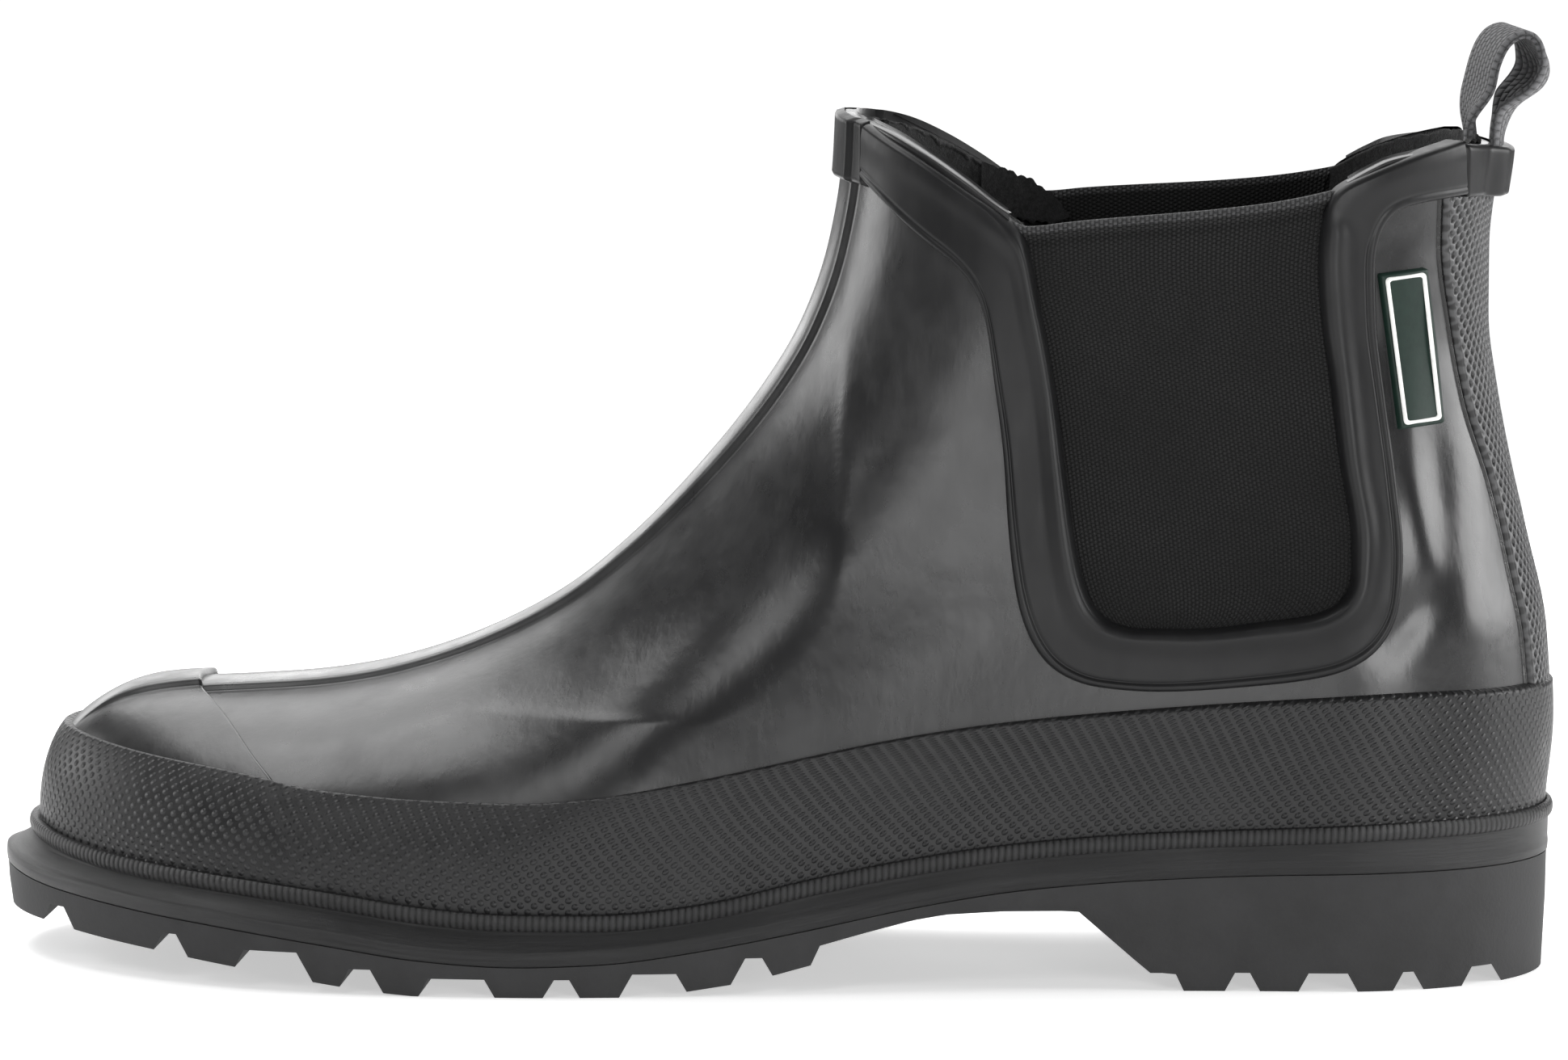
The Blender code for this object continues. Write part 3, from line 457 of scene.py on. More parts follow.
def half_ring(ring, side):
    """Points of one ring from front to back on one side, with its rib height and run."""
    t = ring / (len(FRONT_ENDS) - 1)
    knots = np.arange(len(FRONT_ENDS), dtype=float)
    front_z = curve_through(knots, FRONT_ENDS, np.array(ring, float))
    back_z = curve_through(knots, BACK_ENDS, np.array(ring, float))
    c = (1 - np.cos(np.linspace(0, math.pi, 641))) / 2
    lowest, highest = (FRONT_ENDS[0], BACK_ENDS[0]), (FRONT_ENDS[-1], BACK_ENDS[-1])

    def chord(low, high):
        return front_along(low) + (back_along(high) - front_along(low)) * c, low + (high - low) * c

    x, z = chord(front_z, back_z)
    base_x, base_z = chord(*lowest)
    rim_x, rim_z = chord(*highest)
    inside = np.sin(np.pi * c) ** 0.25
    z = z + (1 - t) ** 3 * inside * (feather_height(base_x) - base_z)
    z = z + np.clip(3 * t - 2, 0, 1) ** 2 * inside * (collar_height(rim_x) - rim_z)
    width = np.sqrt(np.maximum(half_width_squared(x, z, side), 0))
    y = middle(x) + (width if side else -width)
    points = np.stack([x, y, z], -1)
    run = run_along(points)
    rib = rib_half_width(front_z)
    flat = np.linspace(0, rib, RIB_COLUMNS)[:-1]
    slope = np.linspace(rib, rib + RIB_SLOPE, RIB_COLUMNS)[:-1]
    spread = np.linspace(rib + RIB_SLOPE, run[-1], COLUMNS - 2 * RIB_COLUMNS + 2)
    places = np.concatenate([flat, slope, spread])
    rise = RIB_HEIGHT * (1 - eased((places - rib) / RIB_SLOPE))
    row = np.column_stack([np.interp(places, run, points[:, k]) for k in range(3)])
    rise = rise * eased((row[:, 0] - along(0.05)) / (0.05 * LENGTH))
    return row, rise, places


class Form:
    """Both sides of the form as grids of points, normals, rib heights and runs, ring by column."""

    def __init__(self):
        rings = np.linspace(0, len(FRONT_ENDS) - 1, RINGS)
        made = [[half_ring(ring, side) for ring in rings] for side in (0, 1)]
        self.points = np.array([[row for row, _, _ in half] for half in made])
        self.rise = np.array([[rise for _, rise, _ in half] for half in made])
        self.run = np.array([[run for _, _, run in half] for half in made])
        self.normals = np.empty_like(self.points)
        for side in (0, 1):
            x, y, z = np.moveaxis(self.points[side], -1, 0)
            self.normals[side] = outward(x, y, z, side)
            self.rise[side] += creased(x, z, side)
        up = np.linalg.norm(np.diff(self.points, axis=1), axis=-1)
        self.climb = np.concatenate([np.zeros_like(up[:, :1]), np.cumsum(up, axis=1)], axis=1)

    def read(self, grid, side, ring, col):
        """Values of a grid at fractional ring and column places."""
        i = np.clip(ring.astype(int), 0, RINGS - 2)
        k = np.clip(col.astype(int), 0, COLUMNS - 2)
        a, b = ring - i, col - k
        if grid.ndim == 4:
            a, b = a[..., None], b[..., None]
        low = grid[side, i, k] * (1 - b) + grid[side, i, k + 1] * b
        high = grid[side, i + 1, k] * (1 - b) + grid[side, i + 1, k + 1] * b
        return low * (1 - a) + high * a

    def lay(self, side, ring, col, offset):
        """Points on the form at ring and column places, moved outward by an offset over rib and creases."""
        normal = self.read(self.normals, side, ring, col)
        normal = normal / np.linalg.norm(normal, axis=-1, keepdims=True)
        rise = self.read(self.rise, side, ring, col) + offset
        return self.read(self.points, side, ring, col) + normal * rise[..., None]


FORM = Form()
LAST = COLUMNS - 1


def on_side(x, z, side, offset):
    """Points on one side of the form at places of the side view, moved outward."""
    width = np.sqrt(np.maximum(half_width_squared(x, z, side), 0))
    y = middle(x) + (width if side else -width)
    normal = outward(x, y, z, side)
    return np.stack([x, y, z], -1) + normal * (offset + creased(x, z, side))[..., None]


def shoulder(distance, radius):
    """Height share of a rounded edge, 0 at the edge and 1 from the radius inward."""
    t = 1 - np.clip(distance / radius, 0, 1)
    return np.sqrt(1 - t * t)


def new_mesh(name, points, faces, surface=None):
    """A mesh object in the scene, with its material."""
    mesh = bpy.data.meshes.new(name)
    mesh.from_pydata(points, [], faces)
    if surface:
        mesh.materials.append(surface)
    made = bpy.data.objects.new(name, mesh)
    bpy.context.scene.collection.objects.link(made)
    return made


def grid_mesh(name, points, uv, surface, node=None, around=False, keep=None, centre=(0, 0, 0.07)):
    """A smooth mesh over a grid of points, which rides on the boot and may stand for a solid.

    Its faces are turned away from the centre, which lies inside the boot.
    """
    rows, cols = points.shape[:2]
    verts = points.reshape(-1, 3)
    i, k = np.meshgrid(np.arange(rows - 1), np.arange(cols if around else cols - 1), indexing="ij")
    after = (k + 1) % cols
    faces = np.stack([i * cols + k, i * cols + after, (i + 1) * cols + after, (i + 1) * cols + k], -1)
    if keep is not None:
        faces = faces[keep]
    faces = faces.reshape(-1, 4)
    made = new_mesh(name, verts.tolist(), faces.tolist(), surface)
    layer = made.data.uv_layers.new(name="surface")
    flat = uv.reshape(-1, 2)
    corners = flat[faces]
    if around:
        wrapped = (faces % cols)[:, :1] == cols - 1
        width = flat[cols - 1, 0] + (flat[cols - 1, 0] - flat[cols - 2, 0])
        low = wrapped & ((faces % cols) == 0)
        corners[..., 0] = np.where(low, width, corners[..., 0])
    layer.data.foreach_set("uv", corners.reshape(-1).astype(np.float32))
    finish_piece(made, node)
    if centre:
        facing_out(made, centre)
    return made


def finish_piece(made, node=None):
    made.data.shade_smooth()
    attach(made, "root")
    if node:
        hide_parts(node)


def facing_out(made, centre):
    """Turns the faces of an open patch away from a centre."""
    shape = bmesh.new()
    shape.from_mesh(made.data)
    score = sum(f.normal.dot(f.calc_center_median() - Vector(centre)) for f in shape.faces)
    if score < 0:
        bmesh.ops.reverse_faces(shape, faces=shape.faces)
    shape.to_mesh(made.data)
    shape.free()


def facing_out_closed(made):
    """Turns the faces of a closed mesh outward."""
    shape = bmesh.new()
    shape.from_mesh(made.data)
    bmesh.ops.recalc_face_normals(shape, faces=shape.faces)
    shape.to_mesh(made.data)
    shape.free()


def loop_index():
    """Side and column of every place round the boot, from the toe along the lateral side."""
    lateral = np.arange(COLUMNS, dtype=float)
    medial = np.arange(COLUMNS - 2, 0, -1, dtype=float)
    side = np.concatenate([np.zeros(COLUMNS, int), np.ones(COLUMNS - 2, int)])
    return side, np.concatenate([lateral, medial])


def loop_run(ring):
    """Distance round the boot at one ring, from the toe."""
    lateral = FORM.run[0, ring]
    medial = FORM.run[1, ring]
    return np.concatenate([lateral, lateral[-1] + (medial[-1] - medial[-2:0:-1])])


def whole_rings(rings, offset):
    """Points on rings round the whole boot, moved outward by an offset."""
    side, col = loop_index()
    rows, turn = np.meshgrid(rings, np.arange(len(col)), indexing="ij")
    return FORM.lay(side[turn], rows, col[turn], np.full(rows.shape, offset))


def raised(lift, share):
    """Offset of an overlay: just under the form at its edge, lifted in full at share 1."""
    return -SUNK + (lift + SUNK) * share


def inside_outline(x, z, outline):
    """Which places of the side view lie inside a closed outline."""
    inside = np.zeros(x.shape, bool)
    for (x1, z1), (x2, z2) in zip(outline, np.roll(outline, -1, axis=0)):
        crosses = (z1 > z) != (z2 > z)
        at = (x2 - x1) * (z - z1) / (z2 - z1 if z2 != z1 else 1e-12) + x1
        inside ^= crosses & (x < at)
    return inside


def gusset_outline(grow):
    """The elastic panel's outline, grown at its sides and below, and closed far above the collar."""
    edge = dense_line(side_points(GUSSET_EDGE), 80)
    ahead = np.gradient(edge, axis=0)
    ahead = ahead / np.linalg.norm(ahead, axis=1, keepdims=True)
    edge = edge + grow * np.column_stack([ahead[:, 1], -ahead[:, 0]])
    roof = np.array([(edge[-1][0], 1.3 * COLLAR_HEIGHT), (edge[0][0], 1.3 * COLLAR_HEIGHT)])
    return np.concatenate([edge, roof])


def outside_gusset(points, grow):
    """Which cells of a grid round the boot lie outside the elastic panels' outline."""
    x = (points[:-1, :, 0] + points[1:, :, 0]) / 2
    z = (points[:-1, :, 2] + points[1:, :, 2]) / 2
    return ~inside_outline(x, z, gusset_outline(grow))


def node(tree, kind, **values):
    """A shader node with its properties and its unlinked inputs set."""
    made = tree.nodes.new(kind)
    for key, value in values.items():
        if key.startswith("i_"):
            made.inputs[key[2:].replace("_", " ")].default_value = value
        else:
            setattr(made, key, value)
    return made


class Surface:
    """A Principled material that is built up from fields of numbers."""

    def __init__(self, name):
        self.material = bpy.data.materials.new(name)
        self.material.use_nodes = True
        self.tree = self.material.node_tree
        self.shader = self.tree.nodes["Principled BSDF"]
        self.place = node(self.tree, "ShaderNodeTexCoord")
        self.bumped = None

    def link(self, source, target):
        self.tree.links.new(source, target)

    def feed(self, socket, value):
        """Sets a socket to a number or a colour, or links a field to it."""
        if isinstance(value, tuple):
            socket.default_value = (*value, 1)
        elif isinstance(value, (int, float)):
            socket.default_value = value
        else:
            self.link(value, socket)

    def math(self, operation, *values):
        made = node(self.tree, "ShaderNodeMath", operation=operation)
        for k, value in enumerate(values):
            self.feed(made.inputs[k], value)
        return made.outputs[0]

    def times(self, a, b):
        return self.math("MULTIPLY", a, b)

    def noise(self, scale, detail=3.0, roughness=0.5, coords="Object", stretch=(1, 1, 1)):
        mapping = node(self.tree, "ShaderNodeMapping", i_Scale=stretch)
        self.link(self.place.outputs[coords], mapping.inputs["Vector"])
        made = node(self.tree, "ShaderNodeTexNoise", i_Scale=scale, i_Detail=detail, i_Roughness=roughness)
        self.link(mapping.outputs[0], made.inputs["Vector"])
        return made.outputs["Fac"]

    def uv(self):
        made = node(self.tree, "ShaderNodeSeparateXYZ")
        self.link(self.place.outputs["UV"], made.inputs[0])
        return made.outputs[0], made.outputs[1]

    def remap(self, value, low, high, to_low, to_high):
        made = node(self.tree, "ShaderNodeMapRange",
                    i_From_Min=low, i_From_Max=high, i_To_Min=to_low, i_To_Max=to_high)
        self.link(value, made.inputs["Value"])
        return made.outputs[0]

    def mix(self, factor, first, second):
        made = node(self.tree, "ShaderNodeMix", data_type="RGBA")
        for key, value in (("Factor", factor), (6, first), (7, second)):
            self.feed(made.inputs[key], value)
        return made.outputs[2]

    def bump(self, height, distance, strength=1.0):
        """Adds relief of a height field, 0 to 1, over a distance in metres."""
        made = node(self.tree, "ShaderNodeBump", i_Strength=strength, i_Distance=distance)
        self.link(height, made.inputs["Height"])
        if self.bumped:
            self.link(self.bumped, made.inputs["Normal"])
        self.bumped = made.outputs[0]

    def done(self, colour, roughness, sheen=0.0, coat=0.0, specular=0.5):
        values = {"Base Color": colour, "Roughness": roughness, "Sheen Weight": sheen, "Coat Weight": coat,
                  "Coat Roughness": 0.25, "Specular IOR Level": specular}
        for key, value in values.items():
            self.feed(self.shader.inputs[key], value)
        if self.bumped:
            self.link(self.bumped, self.shader.inputs["Normal"])
        return self.material


def upper_rubber():
    """Black vulcanised rubber: soft gloss, grey bloom in clouds, fine wrinkles and dust marks."""
    s = Surface("upper rubber")
    cloud = s.noise(22, 4, 0.55)
    mottle = s.noise(150, 5, 0.65, stretch=(1, 1, 0.5))
    scuff = s.noise(120, 7, 0.8, stretch=(1.2, 1, 0.3))
    marks = s.remap(scuff, 0.55, 0.85, 0, 1)
    bloom = s.times(s.remap(cloud, 0.42, 0.68, 0, 1), s.remap(mottle, 0.3, 0.7, 0.5, 1))
    colour = s.mix(bloom, (0.010, 0.010, 0.0105), (0.034, 0.034, 0.0345))
    colour = s.mix(s.times(marks, 0.30), colour, (0.060, 0.060, 0.061))
    rough = s.math("ADD", s.remap(bloom, 0, 1, 0.26, 0.40), s.times(marks, 0.10))
    rough = s.math("ADD", rough, s.remap(mottle, 0.3, 0.7, -0.03, 0.03))
    s.bump(s.noise(48, 3, 0.5), 0.00035)
    s.bump(mottle, 0.00007)
    s.bump(s.noise(900, 2, 0.5, stretch=(1, 1, 0.4)), 0.00002)
    return s.done(colour, rough, coat=0.12)


def pebbles(s, pitch, size, uneven):
    """Round pebbles on a lattice over the surface coordinates, as a height field."""
    mapping = node(s.tree, "ShaderNodeMapping",
                   i_Rotation=(0, 0, math.radians(45)), i_Scale=(1 / pitch, 1 / pitch, 1))
    s.link(s.place.outputs["UV"], mapping.inputs["Vector"])
    cells = node(s.tree, "ShaderNodeTexVoronoi", voronoi_dimensions="2D", i_Scale=1.0, i_Randomness=uneven)
    s.link(mapping.outputs[0], cells.inputs["Vector"])
    return s.remap(cells.outputs["Distance"], 0.0, size, 1, 0)


def foxing_rubber():
    """Matt rubber with small raised pebbles, fainter in patches; their crowns are painted lighter as
    highlights.
    """
    s = Surface("foxing rubber")
    dome = s.math("POWER", pebbles(s, 1.66 * MM, 0.36, 0.05), 0.6)
    patch = s.remap(s.noise(38, 2, 0.5), 0.35, 0.6, 0.45, 1)
    dome = s.times(dome, patch)
    wear = s.noise(260, 5, 0.65)
    colour = s.mix(s.remap(wear, 0.3, 0.75, 0, 1), (0.010, 0.010, 0.0105), (0.022, 0.022, 0.0225))
    # Painted highlight: the pebble crowns are coloured lighter than the rubber between them.
    colour = s.mix(s.times(dome, 0.40), colour, (0.060, 0.060, 0.062))
    s.bump(dome, 0.00055)
    s.bump(s.noise(600, 3, 0.6), 0.00006)
    return s.done(colour, s.remap(wear, 0.3, 0.7, 0.36, 0.50), specular=0.32)


def strip_rubber():
    """The heel strip: a raised net with dust mottling, its pits painted dark as shade."""
    s = Surface("heel strip rubber")
    place = s.uv()
    across, up = s.math("DIVIDE", place[0], DIAMOND_WIDE), s.math("DIVIDE", place[1], DIAMOND_TALL)
    first = s.math("SINE", s.times(s.math("ADD", across, up), math.pi))
    second = s.math("SINE", s.times(s.math("SUBTRACT", across, up), math.pi))
    pit = s.math("ABSOLUTE", s.times(first, second))
    dust = s.noise(300, 4, 0.6)
    # Painted shade: the pits are coloured nearly black against the lighter net.
    colour = s.mix(s.remap(pit, 0.25, 0.65, 0, 1), (0.070, 0.070, 0.072), (0.002, 0.002, 0.002))
    colour = s.mix(s.remap(dust, 0.35, 0.75, 0, 0.6), colour, (0.030, 0.030, 0.031))
    s.bump(dust, 0.00015)
    return s.done(colour, 0.42, specular=0.5)


def trim_rubber():
    """Satin rubber of the bands, with faint draw marks."""
    s = Surface("trim rubber")
    cloud = s.noise(40, 4, 0.6)
    streak = s.noise(260, 4, 0.6, stretch=(1, 1, 0.2))
    colour = s.mix(s.remap(cloud, 0.3, 0.75, 0, 1), (0.007, 0.007, 0.0075), (0.015, 0.015, 0.0155))
    rough = s.remap(streak, 0.3, 0.7, 0.32, 0.46)
    s.bump(s.noise(80, 3, 0.5), 0.00018)
    s.bump(streak, 0.00003)
    return s.done(colour, rough, coat=0.02, specular=0.24)


def welt_rubber():
    """Glossy band with lengthwise streaks, and fine ribs across the bead, painted light on their crests and
    dark in their grooves as highlight and shade.
    """
    s = Surface("welt rubber")
    u, v = s.uv()
    streak = s.noise(900, 4, 0.6, coords="UV", stretch=(0.03, 1, 1))
    rib = s.math("SINE", s.times(u, 2 * math.pi / (1.3 * MM)))
    on_bead = s.times(s.remap(v, 0.50, 0.56, 0, 1), s.remap(v, 0.90, 0.97, 1, 0))
    colour = s.mix(s.remap(streak, 0.35, 0.7, 0, 1), (0.007, 0.007, 0.0075), (0.018, 0.018, 0.0185))
    # Painted highlight and shade: rib crests coloured lighter, rib grooves nearly black.
    ribs = s.mix(s.remap(rib, -0.8, 0.2, 0, 1), (0.002, 0.002, 0.002), (0.028, 0.028, 0.029))
    colour = s.mix(on_bead, colour, ribs)
    s.bump(s.times(s.math("POWER", s.remap(rib, -1, 1, 0, 1), 0.6), on_bead), 0.00060)
    s.bump(streak, 0.00016)
    return s.done(colour, s.remap(streak, 0.3, 0.7, 0.28, 0.46), coat=0.06, specular=0.45)


def tread_rubber():
    """Matt tread rubber, dusty in random patches."""
    s = Surface("tread rubber")
    cloud = s.noise(90, 5, 0.65)
    grain = s.noise(1100, 3, 0.6)
    colour = s.mix(s.remap(cloud, 0.35, 0.7, 0, 1), (0.013, 0.013, 0.0135), (0.026, 0.026, 0.027))
    s.bump(cloud, 0.00012)
    s.bump(grain, 0.00006)
    return s.done(colour, s.remap(cloud, 0.3, 0.7, 0.60, 0.72), specular=0.4)


def woven(s, wale, row):
    """A woven height field over the surface coordinates: wales up, rows across, offset by half."""
    u, v = s.uv()
    across = s.times(u, 1 / wale)
    shift = s.times(s.math("MODULO", s.math("FLOOR", across), 2.0), 0.5)
    up = s.math("ADD", s.times(v, 1 / row), shift)
    ridge = s.math("ABSOLUTE", s.math("SINE", s.times(across, math.pi)))
    stitch = s.math("ABSOLUTE", s.math("SINE", s.times(up, math.pi)))
    return s.times(s.math("POWER", ridge, 0.6), s.math("POWER", stitch, 0.5))


def elastic():
    """Black woven elastic, its weave painted lighter on the crests and nearly black in the hollows as
    highlight and shade.
    """
    s = Surface("woven elastic")
    weave = woven(s, 0.92 * MM, 0.84 * MM)
    fuzz = s.noise(1500, 3, 0.7)
    tone = s.remap(s.noise(60, 3, 0.6), 0.3, 0.7, 0.5, 1)
    # Painted shade and highlight: the weave's hollows are coloured nearly black and its crests lighter,
    # varied by a random tone.
    painted_weave_shade = s.times(s.remap(weave, 0.45, 0.95, 0, 1), tone)
    colour = s.mix(painted_weave_shade, (0.0003, 0.0003, 0.0003), (0.022, 0.022, 0.0225))
    selvedge = s.remap(s.uv()[1], ELASTIC_TALL - 1.6 * MM, ELASTIC_TALL - 1.1 * MM, 0, 1)
    colour = s.mix(s.times(selvedge, s.remap(weave, 0.2, 0.8, 0.35, 1)), colour, (0.075, 0.075, 0.077))
    s.bump(weave, 0.00060)
    s.bump(fuzz, 0.00008)
    return s.done(colour, 0.85, sheen=0.05, specular=0.25)


def webbing():
    """Grey woven loop webbing, its weave painted light on the crests and dark in the hollows as highlight and
    shade.
    """
    s = Surface("loop webbing")
    weave = woven(s, 1.9 * MM, 1.5 * MM)
    fuzz = s.noise(1400, 3, 0.7)
    # Painted shade and highlight: the weave's hollows are coloured dark and its crests light grey.
    colour = s.mix(weave, (0.022, 0.022, 0.023), (0.135, 0.135, 0.140))
    colour = s.mix(s.remap(fuzz, 0.4, 0.75, 0, 0.5), colour, (0.19, 0.19, 0.195))
    s.bump(weave, 0.00050)
    s.bump(fuzz, 0.00010)
    return s.done(colour, 0.85, sheen=0.15, specular=0.3)


def felt(name, light):
    """Charcoal felt of lining and insole."""
    s = Surface(name)
    fuzz = s.noise(1200, 5, 0.8)
    patch = s.noise(120, 4, 0.6)
    colour = s.mix(s.remap(fuzz, 0.35, 0.7, 0, 1), (0.006, 0.006, 0.006), (light, light, light * 1.03))
    s.bump(fuzz, 0.00045)
    s.bump(patch, 0.0005)
    return s.done(colour, 0.95, sheen=0.2, specular=0.2)


def groove_shade():
    """Black shiny material of the dark line that is painted shade for the groove beside the heel strip."""
    s = Surface("black cement")
    cloud = s.noise(400, 4, 0.6)
    s.bump(cloud, 0.00020)
    colour = s.mix(cloud, (0.001, 0.001, 0.001), (0.005, 0.005, 0.005))
    return s.done(colour, s.remap(cloud, 0.3, 0.7, 0.2, 0.4))


def label_green():
    s = Surface("label green")
    cloud = s.noise(500, 3, 0.6)
    s.bump(cloud, 0.00003)
    return s.done(s.mix(cloud, (0.004, 0.012, 0.009), (0.010, 0.026, 0.019)), 0.45, specular=0.25)


def label_white():
    s = Surface("label white")
    wear = s.noise(700, 3, 0.6)
    return s.done(s.mix(s.remap(wear, 0.3, 0.8, 0, 1), (0.80, 0.80, 0.78), (0.60, 0.60, 0.58)), 0.45)


RUBBER = upper_rubber()
FOXING = foxing_rubber()
STRIP = strip_rubber()
TRIM_RUBBER = trim_rubber()
WELT = welt_rubber()
TREAD = tread_rubber()
ELASTIC = elastic()
WEBBING = webbing()
LINING = felt("lining felt", 0.030)
INSOLE = felt("insole felt", 0.040)
GROOVE_SHADE = groove_shade()
GREEN = label_green()
WHITE = label_white()


def make_upper():
    """The vamp and shaft, outside, over the rim and inside, with its notches for the elastic."""
    outer = whole_rings(np.linspace(0, RINGS - 1, 168), 0.0)
    outer[0, :, 2] = feather_height(outer[0, :, 0])
    outer[-1, :, 2] -= RIM_DROP
    rim = []
    for share in np.linspace(0, math.pi, 7)[1:-1]:
        drop = WALL / 2 * (1 - math.cos(share))
        lift = 0.2 * MM * math.sin(share)
        rim.append(whole_rings([RINGS - 1.0], -drop)[0] + np.array([0, 0, lift - RIM_DROP]))
    inner = whole_rings(np.linspace(RINGS - 1, 0, 60), -WALL)
    points = np.concatenate([outer, np.array(rim), inner])
    run = loop_run(RINGS // 2)
    length = np.arange(len(points)) * (COLLAR_HEIGHT / RINGS)
    uv = np.stack(np.broadcast_arrays(run[None, :], length[:, None]), -1)
    keep = outside_gusset(points, 3 * MM)
    grid_mesh("upper_shell", points, uv, RUBBER, "upper", around=True, keep=keep)


def make_lining():
    """Felt inside the upper, slightly ragged along the rim."""
    rng = np.random.default_rng(4)
    points = whole_rings(np.linspace(3, RINGS - 1, 150), -WALL - 0.9 * MM)
    ragged = np.convolve(rng.normal(0, 1, points.shape[1] + 8), np.ones(2) / 2, "same")[4:-4] * 0.35 * MM
    points[-1, :, 2] = collar_height(points[-1, :, 0]) - 0.3 * MM + ragged
    points[-2, :, 2] -= 0.3 * MM
    tuck = whole_rings([RINGS - 1.0], -WALL + 0.1 * MM)[0]
    tuck[:, 2] = collar_height(tuck[:, 0]) - 0.4 * MM + ragged
    points = np.concatenate([points, tuck[None]])
    run = loop_run(RINGS // 2)
    uv = np.stack(np.broadcast_arrays(run[None, :], np.arange(len(points))[:, None] * MM), -1)
    grid_mesh("lining", points, uv, LINING, around=True, keep=outside_gusset(points, 0.5 * MM))


def ring_where(values, level):
    """Fractional ring at which rising values first reach a level."""
    above = values >= level
    first = int(np.argmax(above))
    if first == 0:
        return 0.0 if above[0] else float(len(values) - 1)
    a, b = values[first - 1], values[first]
    return first - 1 + (level - a) / (b - a)


def foxing_ring(side, col):
    """The ring where a column crosses the foxing's top edge."""
    lip = (GAP + FOXING_THICKNESS) * FORM.normals[side, :, int(col)]
    points = FORM.points[side, :, int(col)] + lip
    return ring_where(points[:, 2] - foxing_top(points[:, 0]), 0.0)


def make_foxing():
    """Textured band round the foot, with a rounded top edge."""
    side, col = loop_index()
    top = np.array([foxing_ring(s, c) for s, c in zip(side, col)])
    smooth_top = np.convolve(np.concatenate([top[-6:], top, top[:6]]), np.ones(5) / 5, "same")[6:-6]
    share = np.concatenate([np.linspace(0, 0.9, 34), np.linspace(0.9, 1, 14)[1:]])
    rows = share[:, None] * smooth_top[None, :]
    turn = np.broadcast_to(np.arange(len(col)), rows.shape)
    climb = FORM.read(FORM.climb, side[turn], rows, col[turn])
    to_edge = climb[-1][None, :] - climb
    rounded = shoulder(to_edge, 1.1 * MM)
    place = FORM.lay(side[turn], rows, col[turn], np.zeros(rows.shape))
    seam = side_points(BUMPER_SEAM)
    ahead = np.interp(place[..., 2], seam[:, 1], seam[:, 0]) - place[..., 0]
    step = 0.55 * MM * eased(ahead / (1.4 * MM) + 0.5)
    offset = raised(GAP + FOXING_THICKNESS, rounded) + step * rounded
    points = FORM.lay(side[turn], rows, col[turn], offset)
    points[0, :, 2] = plate_top(points[0, :, 0]) + 0.05 * MM
    run = loop_run(RINGS // 5)
    uv = np.stack(np.broadcast_arrays(run[None, :], climb), -1)
    grid_mesh("foxing_band", points, uv, FOXING, "foxing", around=True)


def mirrored_columns(columns):
    """Sides and columns that run from the lateral edge of a patch over the front to the medial one."""
    side = np.concatenate([np.zeros(len(columns) - 1, int), np.ones(len(columns), int)])
    return side, np.concatenate([columns[:0:-1], columns])


def make_toe_cap():
    """Thin overlay over the toe, its front edge under the foxing."""
    columns = np.concatenate([np.linspace(0, 14, 15), np.linspace(15, 0.36 * COLUMNS, 56)])
    side, col = mirrored_columns(columns)
    base = 6.0
    end = []
    for s, c in zip(side, col):
        k = min(int(c), COLUMNS - 2)
        b = c - k
        line = FORM.points[s, :, k] * (1 - b) + FORM.points[s, :, k + 1] * b
        end.append(max(ring_where(line[:, 0] - edge_at(CAP_EDGE, line[:, 2]), 0.0), base + 0.5))
    share = np.concatenate([np.linspace(0, 0.93, 50), np.linspace(0.93, 1, 12)[1:]])
    rows = base + share[:, None] * (np.array(end)[None, :] - base)
    turn = np.broadcast_to(np.arange(len(col)), rows.shape)
    climb = FORM.read(FORM.climb, side[turn], rows, col[turn])
    offset = raised(GAP + OVERLAY, shoulder(climb[-1][None, :] - climb, 0.8 * MM))
    points = FORM.lay(side[turn], rows, col[turn], offset)
    run = FORM.read(FORM.run, side[turn], rows, col[turn])
    uv = np.stack([run, climb], -1)
    grid_mesh("toe_cap_overlay", points, uv, RUBBER, "toe_cap", centre=(-0.1, 0, 0.03))


def strip_edge(z):
    return edge_at(STRIP_EDGE, z, first_along=False)


def column_where(side, ring, edge):
    """The column at which a ring passes behind an edge of the side view."""
    low = int(ring)
    part = ring - low
    line = FORM.points[side, low] * (1 - part) + FORM.points[side, min(low + 1, RINGS - 1)] * part
    past = line[:, 0] >= edge(line[:, 2])
    first = int(np.argmax(past))
    a, b = (line[k, 0] - edge(line[k, 2]) for k in (first - 1, first))
    return first - 1 + a / (a - b)


def wrapped_patch(rings, edges, per_side):
    """Sides and columns that run from the lateral edge of a patch round the back to the medial one."""
    rows, cols, sides = [], [], []
    for ring, (lateral, medial) in zip(rings, edges):
        near = np.linspace(lateral, LAST, per_side)
        far = np.linspace(medial, LAST, per_side)[:-1][::-1]
        rows.append(np.full(2 * per_side - 1, ring))
        cols.append(np.concatenate([near, far]))
        sides.append(np.concatenate([np.zeros(per_side, int), np.ones(per_side - 1, int)]))
    return np.array(sides), np.array(rows), np.array(cols)


def back_ring(height):
    """The ring that meets the back at a height."""
    return ring_where(FORM.points[0, :, LAST, 2], height)


def patch_run(points):
    """Distance across a patch from its middle column."""
    step = np.linalg.norm(np.diff(points, axis=1), axis=-1)
    run = np.concatenate([np.zeros((len(points), 1)), np.cumsum(step, axis=1)], axis=1)
    return run - run[:, run.shape[1] // 2][:, None]


def to_border(run):
    """Distance of every place of a patch from the nearer end of its row."""
    return np.minimum(run - run[:, :1], run[:, -1:] - run)


